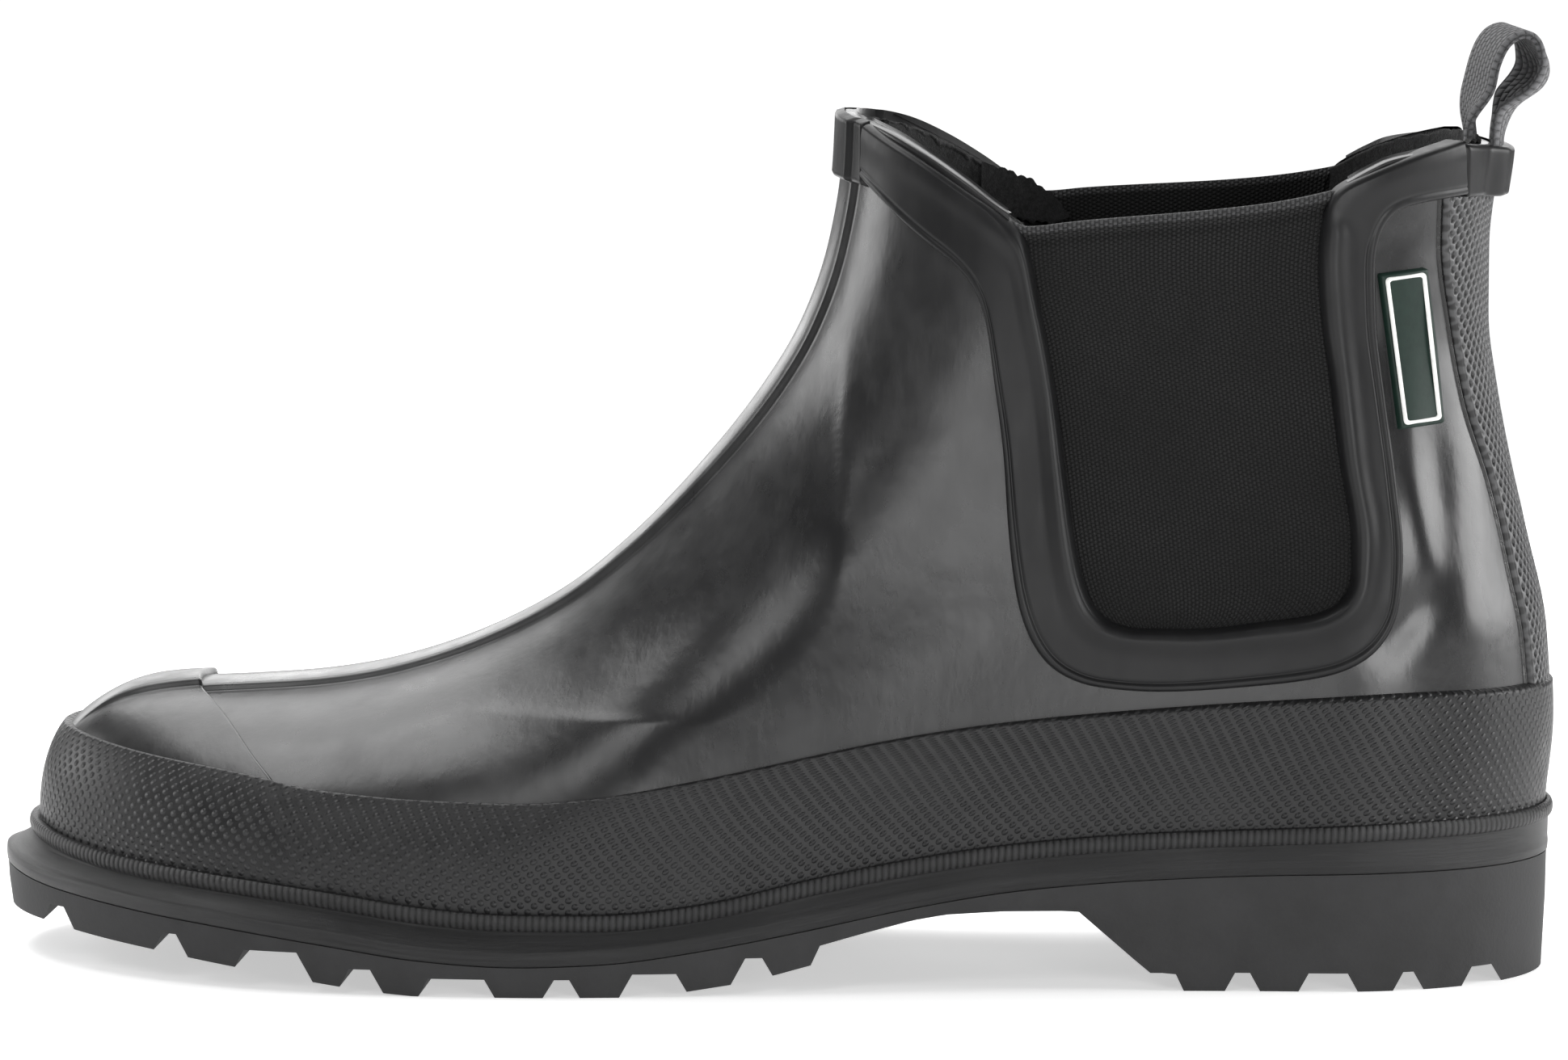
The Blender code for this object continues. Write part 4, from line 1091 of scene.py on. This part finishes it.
def make_back_strip():
    """The net strip up the heel, with real pits."""
    rings = np.linspace(back_ring(0.325 * COLLAR_HEIGHT), back_ring(0.915 * COLLAR_HEIGHT), 420)
    edges = [(column_where(0, r, strip_edge), column_where(1, r, strip_edge)) for r in rings]
    side, rows, cols = wrapped_patch(rings, edges, 70)
    flat = FORM.lay(side, rows, cols, np.zeros(rows.shape))
    run = patch_run(flat)
    edge = to_border(run)
    offset = raised(GAP + OVERLAY, shoulder(edge, 0.9 * MM))
    climb = FORM.read(FORM.climb, side, rows, cols)
    across, up = run / DIAMOND_WIDE, climb / DIAMOND_TALL
    first, second = across + up, across - up
    pit = eased((np.abs(np.sin(math.pi * first) * np.sin(math.pi * second)) - 0.15) / 0.7)
    offset = offset + MM * (0.15 - 0.65 * pit) * eased((edge - 0.7 * MM) / (0.8 * MM))
    points = FORM.lay(side, rows, cols, offset)
    uv = np.stack([run, climb], -1)
    grid_mesh("heel_strip", points, uv, STRIP, "back_strip", centre=(0.05, 0, 0.1))


def make_strip_line():
    """Dark line along both edges of the heel strip: a low black bead that is painted shade for the groove
    there.
    """
    for side, word in enumerate(SIDES):
        rings = np.linspace(back_ring(0.33 * COLLAR_HEIGHT), back_ring(0.915 * COLLAR_HEIGHT), 150)
        rows = []
        for ring in rings:
            edge = column_where(side, ring, strip_edge)
            low = FORM.read(FORM.run, np.array([side]), np.array([ring]), np.array([edge]))[0]
            run = FORM.read(FORM.run, np.full(COLUMNS, side), np.full(COLUMNS, ring), np.arange(COLUMNS))
            rows.append(np.interp(low + np.linspace(-1.5, 0.5, 9) * MM, run, np.arange(COLUMNS)))
        cols = np.array(rows)
        turn = np.broadcast_to(rings[:, None], cols.shape)
        rise = 0.5 * MM * np.array([-0.2, 0.6, 1, 0.7, 0.2, 0.1, 0.1, 0.2, 0.2])
        points = FORM.lay(np.full(cols.shape, side), turn, cols, np.broadcast_to(rise, cols.shape))
        uv = np.stack(np.broadcast_arrays(np.arange(9)[None, :] * MM, rings[:, None] * MM), -1)
        # Painted shade: a black bead stands in for the shaded groove beside the strip.
        grid_mesh("strip_line_" + word, points, uv, GROOVE_SHADE, centre=(0.05, 0, 0.1))


def collar_piece(name, node_name, patch, lift, end_radius, edge_radius):
    """A piece of the collar band over a patch, lifted by a function of the distance across it."""
    side, rows, cols = patch
    run = patch_run(FORM.lay(side, rows, cols, np.zeros(rows.shape)))
    climb = FORM.read(FORM.climb, side, rows, cols)
    rounded = shoulder(to_border(run), end_radius) * shoulder(to_border(climb.T).T, edge_radius)
    points = FORM.lay(side, rows, cols, raised(lift(run), rounded))
    uv = np.stack([run, climb], -1)
    grid_mesh(name, points, uv, TRIM_RUBBER, node_name, centre=(0.05, 0, 0.14))


def back_band_lift(run):
    """The back band's height: thin at its ends, and over the pull loop in its middle."""
    over_loop = GAP * 2 + STRAP_THICKNESS + 0.6 * MM + TRIM
    return 1.6 * MM + (over_loop - 1.6 * MM) * eased((1 - np.abs(run) / (13 * MM)) * 2.2)


def make_back_band():
    """The collar band's back piece, over the pull loop's outer leg."""
    start = along(0.936)
    rings = np.linspace(back_ring(0.912 * COLLAR_HEIGHT), RINGS - 1.0, 26)
    edges = [[column_where(side, ring, lambda z: start) for side in (0, 1)] for ring in rings]
    patch = wrapped_patch(rings, edges, 30)
    collar_piece("collar_back", "collar_band_back", patch, back_band_lift, 1.0 * MM, 1.0 * MM)


def make_front_tab():
    """The collar band's front piece, over the top of the raised strip."""
    end = along(0.566)
    half = 40
    cols = []
    rings = np.linspace(ring_where(FORM.points[0, :, 0, 2], 0.930 * COLLAR_HEIGHT), RINGS - 1.0, 26)
    for ring in rings:
        lateral, medial = (column_where(side, ring, lambda z: end) for side in (0, 1))
        cols.append(np.concatenate([np.linspace(lateral, 0, half), np.linspace(0, medial, half)[1:]]))
    cols = np.array(cols)
    rows = np.broadcast_to(rings[:, None], cols.shape)
    side = np.broadcast_to((np.arange(cols.shape[1]) >= half).astype(int), cols.shape)
    collar_piece("collar_front", "collar_tab_front", (side, rows, cols), lambda run: GAP + TRIM,
                 0.8 * MM, 1.1 * MM)


def make_trim(side, name, node_name):
    """The band from the collar down round the elastic panel: flange outside, rolled lip inside."""
    table = np.array(TRIM_BAND)
    size = np.array([LENGTH, COLLAR_HEIGHT, LENGTH, COLLAR_HEIGHT])
    band = dense_line(table * size, 420, 6)
    outer = np.column_stack([band[:, 0] - LENGTH / 2, band[:, 1]])
    inner = np.column_stack([band[:, 2] - LENGTH / 2, band[:, 3]])
    width = np.linalg.norm(outer - inner, axis=1)
    share = (1 - np.cos(np.linspace(0, math.pi, 64))) / 2
    spot = inner[:, None, :] + (outer - inner)[:, None, :] * share[None, :, None]
    from_lip = width[:, None] * share[None, :]
    from_edge = width[:, None] * (1 - share[None, :])
    on_collar = eased((inner[:, 1] - 0.885 * COLLAR_HEIGHT) / (0.03 * COLLAR_HEIGHT))[:, None]
    flange = 1.7 * MM * shoulder(from_edge, 1.0 * MM)
    flange = flange - 0.45 * MM * np.exp(-((from_edge - 1.9 * MM) / (0.35 * MM)) ** 2) * (1 - 0.6 * on_collar)
    lip = 1.1 * MM * np.exp(-((from_lip - 2.6 * MM) / (2.3 * MM)) ** 2)
    body = flange + lip * (1 - 0.75 * on_collar)
    low = (-0.9 * (1 - on_collar) + 0.4 * on_collar) * MM
    offset = low + (body - low) * shoulder(from_lip, 1.5 * MM - 0.5 * MM * on_collar)
    deep = low + (-2.5 * MM - low) * np.linspace(1, 0.15, 6)[None, :]
    offset = np.concatenate([deep, offset], axis=1)
    spot = np.concatenate([np.repeat(spot[:, :1], 6, axis=1), spot], axis=1)
    from_lip = np.concatenate([deep - low, from_lip], axis=1)
    points = on_side(spot[..., 0], spot[..., 1], side, offset)
    uv = np.stack(np.broadcast_arrays(run_along(inner)[:, None], from_lip), -1)
    grid_mesh(name, points, uv, TRIM_RUBBER, node_name, centre=(0.07, 0, 0.1))


def make_gusset(side, name, node_name):
    """Elastic panel with a rolled selvedge along its top."""
    edge = gusset_outline(2.5 * MM)[:-2]
    bottom = edge[:, 1].min()
    x_low, x_high = edge[:, 0].min(), edge[:, 0].max()
    u = np.linspace(0, 1, 90)
    heights = np.linspace(0, 1, 120)
    lowest = int(np.argmin(edge[:, 1]))
    left, right = edge[:lowest], edge[lowest:]
    rows = []
    for share in heights:
        z = bottom + 0.4 * MM + share * (0.93 * COLLAR_HEIGHT - bottom)
        x1 = np.interp(-z, -left[:, 1], left[:, 0])
        x2 = np.interp(z, right[:, 1], right[:, 0])
        x = x1 + (x2 - x1) * u
        top = collar_height(x) - 0.3 * MM + side * 2.0 * MM * (1 - u)
        rows.append(np.column_stack([x, bottom + 0.4 * MM + share * (top - bottom - 0.4 * MM)]))
    spot = np.array(rows)
    share = heights[:, None]
    bulge = 0.5 * MM * np.sin(math.pi * share) * np.sin(math.pi * u)[None, :]
    below = (1 - share) * ELASTIC_TALL / MM
    roll = 0.9 * np.exp(-((below - 1.1) / 0.9) ** 2) - 0.35 * np.exp(-((below - 3.0) / 0.7) ** 2)
    offset = np.broadcast_to(-0.7 * MM - bulge + roll * MM, spot.shape[:2])
    points = on_side(spot[..., 0], spot[..., 1], side, offset)
    back = on_side(spot[..., 0], spot[..., 1], side, np.full(spot.shape[:2], -2.2 * MM))[::-1]
    points = np.concatenate([points, back])
    wide = (u[None, :] * (x_high - x_low)) * np.ones_like(share)
    tall = share * ELASTIC_TALL * np.ones_like(u)[None, :]
    uv = np.stack([wide, tall], -1)
    uv = np.concatenate([uv, uv[::-1]])
    grid_mesh(name, points, uv, ELASTIC, node_name, centre=(0.07, 0, 0.1))


def make_felt_flap():
    """Torn end of the lining that hangs over the front corner of the far elastic panel."""
    share = np.linspace(0, 1, 50)
    place = along(0.622 + 0.062 * share)
    top = np.interp(share, (0, 0.5, 0.75, 1), (0.936, 0.916, 0.900, 0.872)) * COLLAR_HEIGHT
    low = np.interp(share, (0, 0.5, 0.8, 1), (0.870, 0.864, 0.858, 0.866)) * COLLAR_HEIGHT
    ragged = 0.5 * MM * np.sin(share * 41) * np.sin(share * 17 + 1) * eased(share * 4)
    down = np.linspace(0, 1, 18)[:, None]
    z = (top + ragged) * (1 - down) + (low + ragged[::-1]) * down
    x = place + 0 * down
    layers = [on_side(x, z, 1, np.full(z.shape, -depth * MM)) for depth in (3.0, 4.6)]
    points = np.concatenate([layers[0], layers[1][::-1]])
    uv = np.stack([x, z], -1)
    uv = np.concatenate([uv, uv[::-1]])
    grid_mesh("felt_flap", points, uv, LINING, centre=(0.05, 0.03, 0.14))


def plate_spots(corners, across, down):
    """Places of the side view within four corners, at shares across and down."""
    top = corners[0] + (corners[1] - corners[0]) * across[..., None]
    low = corners[3] + (corners[2] - corners[3]) * across[..., None]
    return top + (low - top) * down[..., None]


def make_label():
    """Green plate with a raised white border, left blank."""
    corners = np.array([(float(along(a)), h * COLLAR_HEIGHT) for a, h in LABEL])
    across, down = np.meshgrid(np.linspace(0, 1, 40), np.linspace(0, 1, 90), indexing="ij")
    spot = plate_spots(corners, across, down)
    wide = np.linalg.norm(corners[1] - corners[0])
    tall = np.linalg.norm(corners[3] - corners[0])
    from_side = np.minimum(across, 1 - across) * wide
    from_end = np.minimum(down, 1 - down) * tall
    offset = raised(GAP + OVERLAY, shoulder(np.minimum(from_side, from_end), 0.5 * MM))
    points = on_side(spot[..., 0], spot[..., 1], 0, offset)
    uv = np.stack([across * wide, down * tall], -1)
    grid_mesh("label_green", points, uv, GREEN, "label_plate", centre=(0.1, 0, 0.1))
    make_label_border(corners, wide, tall)


def make_label_border(corners, wide, tall):
    """The plate's border: a low line with a rounded top."""
    inset, line = 0.75 * MM, 0.75 * MM
    rows = []
    for share, rise in ((0.0, 0.0), (0.12, 0.22), (0.5, 0.25), (0.88, 0.22), (1.0, 0.0)):
        ring = rounded_rectangle(1.0 * MM, wide, tall, inset + line * share)
        spot = plate_spots(corners, ring[:, 0] / wide, ring[:, 1] / tall)
        offset = np.full(len(ring), GAP + OVERLAY - 0.03 * MM + rise * MM)
        rows.append(on_side(spot[:, 0], spot[:, 1], 0, offset))
    points = np.array(rows)
    uv = np.zeros((*points.shape[:2], 2))
    grid_mesh("label_border", points, uv, WHITE, around=True, centre=(0.1, 0, 0.1))


def rounded_rectangle(radius, wide, tall, inset):
    """Points round a rectangle inside a plate, with small round corners."""
    r = max(radius - inset * 0.3, 0.3 * MM)
    points = []
    for cx, cy, turn in ((wide - inset - r, tall - inset - r, 0), (inset + r, tall - inset - r, 90),
                         (inset + r, inset + r, 180), (wide - inset - r, inset + r, 270)):
        for k in range(7):
            angle = math.radians(turn + 15 * k)
            points.append((cx + r * math.cos(angle), cy + r * math.sin(angle)))
    return np.array(points)


def flare(index, extra=0.0):
    def reach(x):
        return curve_through(along(column(FLARE, 0)), column(FLARE, index) * BALL_WIDTH, x) + extra
    return reach


def sole_stations(count, extra=()):
    tip, end = along(FEATHER[0][0]), back_along(feather_height(0.145))
    t = (1 - np.cos(np.linspace(0, math.pi, count))) / 2
    even = tip + (end - tip) * t
    marks = np.array([float(v) for v in extra if tip < v < end])
    near = 0.6 * MM
    ends = (even[0], even[-1])
    kept = [v for v in even if marks.size == 0 or v in ends or np.min(np.abs(marks - v)) > near]
    return np.sort(np.concatenate([kept, marks]))


def sole_loop(stations, offset, height):
    """A closed loop round the foot: the sole edge moved out, at a height read along it."""
    z = feather_height(stations)
    sides = []
    for side in (0, 1):
        width = np.sqrt(np.maximum(half_width_squared(stations, z, side), 0))
        y = middle(stations) + (width if side else -width)
        normal = outward(stations, y, z, side)[:, :2]
        normal = normal / np.linalg.norm(normal, axis=1, keepdims=True)
        reach = offset(stations) if callable(offset) else np.full(len(stations), offset)
        sides.append(np.column_stack([stations, y]) + normal * reach[:, None])
    plan = np.concatenate([sides[0], sides[1][-2:0:-1]])
    level = height(plan[:, 0]) if callable(height) else np.full(len(plan), height)
    return np.column_stack([plan, level])


def make_welt():
    """Band round the sole plate: flared side and bead. Its ribs and streaks are in the material."""
    stations = sole_stations(420)
    rebate = FOXING_THICKNESS + 2 * GAP
    sections = [
        (flare(2, -0.5 * MM), lambda x: sole_line(x) - 0.05 * MM, 0.00),
        (flare(2), lambda x: sole_line(x) + 0.25 * MM, 0.03),
        (flare(2, 0.1 * MM), lambda x: sole_line(x) + 1.5 * MM, 0.12),
        (flare(2), lambda x: sole_line(x) + 2.8 * MM, 0.22),
    ]
    for share in (0.2, 0.4, 0.6, 0.8):
        sections.append((
            lambda x, k=share: flare(2)(x) * (1 - k ** 0.8) + (flare(1)(x) - 0.9 * MM) * k ** 0.8,
            lambda x, k=share: (sole_line(x) + 2.8 * MM) * (1 - k) + (bead_top(x) - BEAD_HEIGHT) * k,
            0.22 + 0.28 * share))
    for turn in range(0, 181, 20):
        a = math.radians(turn - 90)
        sections.append((
            flare(1, -0.9 * MM + 0.9 * MM * math.cos(a)),
            lambda x, a=a: bead_top(x) - BEAD_HEIGHT / 2 + BEAD_HEIGHT / 2 * math.sin(a),
            0.50 + 0.45 * turn / 180))
    sections.append((rebate, lambda x: bead_top(x) - 0.1 * MM, 0.97))
    sections.append((rebate, lambda x: plate_top(x), 1.0))
    loops = [sole_loop(stations, offset, height) for offset, height, _ in sections]
    points = np.array(loops)
    run = run_along(points[6])
    share = np.array([s for _, _, s in sections])
    uv = np.stack(np.broadcast_arrays(run[None, :], share[:, None]), -1)
    grid_mesh("welt_band", points, uv, WELT, "sole_plate", around=True, centre=(0, 0, 0.02))


def ground(x):
    return np.interp(x, along(column(GROUND, 0)), column(GROUND, 1) * COLLAR_HEIGHT)


def solid(name, points, faces, surface=None):
    made = new_mesh(name, [tuple(float(v) for v in p) for p in points], faces, surface)
    facing_out_closed(made)
    return made


def capped(start, size):
    """Strips across a loop whose points are paired left and right."""
    faces = [(start, start + 1, start + size - 1)]
    for k in range(1, size // 2 - 1):
        faces.append((start + k, start + k + 1, start + size - k - 1, start + size - k))
    faces.append((start + size // 2 - 1, start + size // 2, start + size // 2 + 1))
    return faces


def stacked_loops(loops, closed_ends=True):
    points = np.concatenate(loops)
    size = len(loops[0])
    faces = []
    for i in range(len(loops) - 1):
        low, high = i * size, (i + 1) * size
        for k in range(size):
            after = (k + 1) % size
            faces.append((low + k, low + after, high + after, high + k))
    if closed_ends:
        faces += capped(0, size) + capped((len(loops) - 1) * size, size)
    return points, faces


def prism(name, outline, y_low, y_high):
    size = len(outline)
    points = [(x, y_low, z) for x, z in outline] + [(x, y_high, z) for x, z in outline]
    faces = [tuple(range(size)), tuple(range(2 * size - 1, size - 1, -1))]
    faces += [(k, size + k, size + (k + 1) % size, (k + 1) % size) for k in range(size)]
    return solid(name, points, faces)


def cut(target, cutter):
    step = target.modifiers.new("cut", "BOOLEAN")
    step.operation = "DIFFERENCE"
    step.solver = "EXACT"
    step.object = cutter
    bpy.context.view_layer.update()
    graph = bpy.context.evaluated_depsgraph_get()
    mesh = bpy.data.meshes.new_from_object(target.evaluated_get(graph))
    target.modifiers.clear()
    target.data = mesh
    bpy.data.objects.remove(cutter)


def groove_cutter(start, end):
    top = max(ground(start), ground(end)) + LUG_DEPTH
    low = -10 * MM
    spread = LUG_SLOPE * (top - low) / LUG_DEPTH
    outline = [(start + LUG_SLOPE, top), (end - LUG_SLOPE, top),
               (end - LUG_SLOPE + spread, low), (start + LUG_SLOPE - spread, low)]
    return prism("groove", outline, -0.09, 0.09)


def channel_cutter(start, end, offset):
    loops = []
    for x in np.linspace(start, end, 12):
        top = float(ground(x)) + CHANNEL_DEPTH
        y = float(middle(x)) + offset
        half = CHANNEL_WIDTH / 2
        loops.append(np.array([(x, y - half, top), (x, y + half, top),
                               (x, y + half, -10 * MM), (x, y - half, -10 * MM)]))
    points, faces = stacked_loops(loops, closed_ends=False)
    last = len(points) - 4
    faces += [(0, 1, 2, 3), (last, last + 1, last + 2, last + 3)]
    return solid("channel", points, faces)


def make_outsole():
    """Tread with its lugs, edges slightly rounded."""
    stations = sole_stations(150, along(column(GROUND, 0)))
    loops = [
        sole_loop(stations, flare(2, -SOLE_DRAFT), ground),
        sole_loop(stations, flare(2, -0.35 * MM), lambda x: ground(x) + (sole_line(x) - ground(x)) * 0.6),
        sole_loop(stations, flare(2, -0.2 * MM), lambda x: sole_line(x) - 0.1 * MM),
    ]
    points, faces = stacked_loops(loops)
    sole = solid("tread", points, faces, TREAD)
    for start, end in GROOVES:
        cut(sole, groove_cutter(float(along(start)), float(along(end))))
    for start, end, offset in CHANNELS:
        cut(sole, channel_cutter(float(along(start)), float(along(end)), offset * BALL_WIDTH))
    edges = sole.modifiers.new("edges", "BEVEL")
    edges.width = 0.35 * MM
    edges.segments = 2
    edges.limit_method = "ANGLE"
    edges.angle_limit = math.radians(35)
    edges.use_clamp_overlap = True
    finish_piece(sole, "outsole")
    sole.data.set_sharp_from_angle(angle=math.radians(40))


def make_insole():
    """Felt insole, a little smaller than the sole plate."""
    stations = sole_stations(150)
    loops = [
        sole_loop(stations, -3.4 * MM, lambda x: plate_top(x) + GAP),
        sole_loop(stations, -3.4 * MM, lambda x: plate_top(x) + GAP + 2.4 * MM),
        sole_loop(stations, -4.2 * MM, lambda x: plate_top(x) + GAP + 3.0 * MM),
    ]
    points, faces = stacked_loops(loops)
    made = solid("insole_felt", points, faces, INSOLE)
    finish_piece(made, "insole")


def on_back(y, z, offset):
    """The place on the back of the form at a sideways place and height, moved outward."""
    side = 1 if y > CENTRING else 0
    x = np.linspace(back_along(z) - HEEL_ROUNDING, back_along(z), 200)
    across = (y - CENTRING) ** 2
    x = float(np.interp(-across, -half_width_squared(x, np.full(200, z), side), x))
    normal = outward(np.array([x]), np.array([y]), np.array([z]), side)[0]
    return np.array([x, y, z]) + normal * offset


def make_pull_loop():
    """Webbing loop: rounded edges, one leg inside the collar and one outside."""
    edges = [dense_line(side_points(table), 170, 4) for table in (LOOP_LATERAL, LOOP_MEDIAL)]
    crest = int(np.argmax(edges[0][:, 1] + edges[1][:, 1]))
    top = edges[1][crest, 1]
    rim = 0.975 * COLLAR_HEIGHT
    inside = -(WALL + GAP + 0.8 * STRAP_THICKNESS)
    outside = GAP + 0.6 * STRAP_THICKNESS
    sheet = []
    shares = np.linspace(-1, 1, 25)
    for i, (near, far) in enumerate(zip(*edges)):
        row = []
        for share in shares:
            x, z = near + (far - near) * (share + 1) / 2
            if i > crest:
                x += 4.0 * MM * (1 - share * share) * float(eased((top - z) / (top - rim) * 2.0))
            y = CENTRING + share * STRAP_WIDTH / 2
            free = float(eased((z - rim) / (top - rim) * 2.0))
            held = on_back(y, z, inside if i < crest else outside)
            row.append(held + (np.array([x, y, z]) - held) * free)
        sheet.append(row)
    sheet = np.array(sheet)
    ahead, side = np.gradient(sheet, axis=0), np.gradient(sheet, axis=1)
    normal = np.cross(ahead, side)
    normal = normal / np.linalg.norm(normal, axis=-1, keepdims=True)
    edge = (1 - np.abs(shares)) * STRAP_WIDTH / 2
    half = STRAP_THICKNESS / 2 * shoulder(edge, 0.7 * MM)[None, :, None]
    front, back = sheet + normal * half, sheet - normal * half
    loop = np.concatenate([front, back[:, ::-1]], axis=1)
    run = run_along((edges[0] + edges[1]) / 2)
    width = (shares + 1) * STRAP_WIDTH / 2
    wide = np.concatenate([width, width[::-1]])
    uv = np.stack(np.broadcast_arrays(wide[None, :], run[:, None]), -1)
    made = grid_mesh("loop_strap", loop, uv, WEBBING, "pull_loop", around=True, centre=None)
    facing_out_closed(made)


make_upper()
make_lining()
make_foxing()
make_toe_cap()
make_back_strip()
make_strip_line()
make_back_band()
make_front_tab()
for place, word in enumerate(SIDES):
    make_trim(place, "trim_band_" + word, "trim_" + word)
for place, word in enumerate(SIDES):
    make_gusset(place, "elastic_" + word, "gusset_" + word)
make_felt_flap()
make_label()
make_welt()
make_outsole()
make_insole()
make_pull_loop()


# Camera, as the photograph was taken: from the outer side, a little behind and above
AZIMUTH = math.radians(4.5)
ELEVATION = math.radians(6.5)
DISTANCE = 1.45
TARGET = Vector((0.0022, CENTRING, 0.0822))
SENSOR = 36
PIXELS_PER_MM = 6.43
PHOTO_WIDTH = 1940
FOCAL = SENSOR * PIXELS_PER_MM * DISTANCE / MM / PHOTO_WIDTH

# Stage
FLOOR_RADIUS = 0.8
DOME_RADIUS = 2.9
DOME_LOW = -45
AIM = Vector((0, 0, 0.07))


def seen_from(turn, lift):
    """Direction from the boot at angles from the front (towards the heel) and up, in radians."""
    return Vector((math.sin(turn) * math.cos(lift), -math.cos(turn) * math.cos(lift), math.sin(lift)))


def make_camera():
    back = seen_from(AZIMUTH, ELEVATION)
    right = Vector((math.cos(AZIMUTH), math.sin(AZIMUTH), 0))
    up = back.cross(right)
    data = bpy.data.cameras.new("camera")
    data.lens = FOCAL
    data.sensor_width = SENSOR
    data.clip_start = 0.05
    data.clip_end = 20
    camera = bpy.data.objects.new("camera", data)
    turned = Matrix((right, up, back)).transposed().to_4x4()
    camera.matrix_world = Matrix.Translation(TARGET + back * DISTANCE) @ turned
    bpy.context.scene.collection.objects.link(camera)
    bpy.context.scene.camera = camera


def stage_piece(name, points, faces, surface):
    made = new_mesh(name, points, faces, surface)
    made.data.shade_smooth()
    return made


def glowing(surface, strength):
    """Makes a surface shine white by itself."""
    surface.shader.inputs["Emission Color"].default_value = (1, 1, 1, 1)
    surface.shader.inputs["Emission Strength"].default_value = strength
    return surface.material


def make_floor():
    """Plain white floor, a disc that shines a little."""
    paper = Surface("white paper")
    paper.done((0.90, 0.90, 0.90), 0.9, specular=0.1)
    rim = []
    for k in range(72):
        turn = math.radians(5 * k)
        rim.append((FLOOR_RADIUS * math.cos(turn), FLOOR_RADIUS * math.sin(turn), 0))
    stage_piece("floor", rim, [tuple(range(72))], glowing(paper, 0.50))


def make_surround():
    """White dome round the scene that only the camera sees."""
    white = Surface("white surround")
    white.shader.inputs["Base Color"].default_value = (0, 0, 0, 1)
    rows, cols = 18, 32
    points, faces = [], []
    for i in range(rows + 1):
        up = math.radians(DOME_LOW + (90 - DOME_LOW) * i / rows)
        for k in range(cols):
            turn = 2 * math.pi * k / cols
            points.append((DOME_RADIUS * math.cos(up) * math.cos(turn),
                           DOME_RADIUS * math.cos(up) * math.sin(turn), -0.01 + DOME_RADIUS * math.sin(up)))
    for i in range(rows):
        for k in range(cols):
            after = (k + 1) % cols
            faces.append((i * cols + k, i * cols + after, (i + 1) * cols + after, (i + 1) * cols + k))
    dome = stage_piece("surround", points, faces, glowing(white, 1.05))
    for ray in ("diffuse", "glossy", "transmission", "volume_scatter", "shadow"):
        setattr(dome, "visible_" + ray, False)


def soft_box(name, turn, lift, distance, size, radiance):
    """A soft box that is seen from the boot at a turn and a lift in degrees."""
    away = distance * seen_from(math.radians(turn), math.radians(lift))
    data = bpy.data.lights.new(name, "AREA")
    data.shape = "RECTANGLE"
    data.size, data.size_y = size
    data.energy = radiance * math.pi * size[0] * size[1]
    light = bpy.data.objects.new(name, data)
    light.location = AIM + away
    light.rotation_euler = (-away).to_track_quat("-Z", "Y").to_euler()
    bpy.context.scene.collection.objects.link(light)


def make_lights():
    """Eight soft boxes and a dim white world."""
    world = bpy.data.worlds.new("studio")
    world.use_nodes = True
    background = world.node_tree.nodes["Background"]
    background.inputs["Color"].default_value = (1, 1, 1, 1)
    background.inputs["Strength"].default_value = 0.16
    bpy.context.scene.world = world
    soft_box("overhead", -172, 50, 1.2, (1.2, 0.9), 3.0)
    soft_box("front", -6, 0, 1.7, (0.9, 0.45), 3.8)
    soft_box("front_high", -26, 35, 1.4, (0.4, 0.4), 4.0)
    soft_box("top_left", -90, 66, 1.3, (0.9, 0.5), 4.6)
    soft_box("left", -106, 14, 1.3, (0.65, 0.6), 4.5)
    soft_box("strip_right", 32, 2, 1.3, (0.38, 0.6), 9.0)
    soft_box("right", 98, 16, 1.3, (0.9, 0.75), 6.5)
    soft_box("behind", 186, 12, 1.3, (1.5, 0.35), 2.6)


make_camera()
make_floor()
make_surround()
make_lights()
bpy.context.scene.view_settings.view_transform = "Standard"
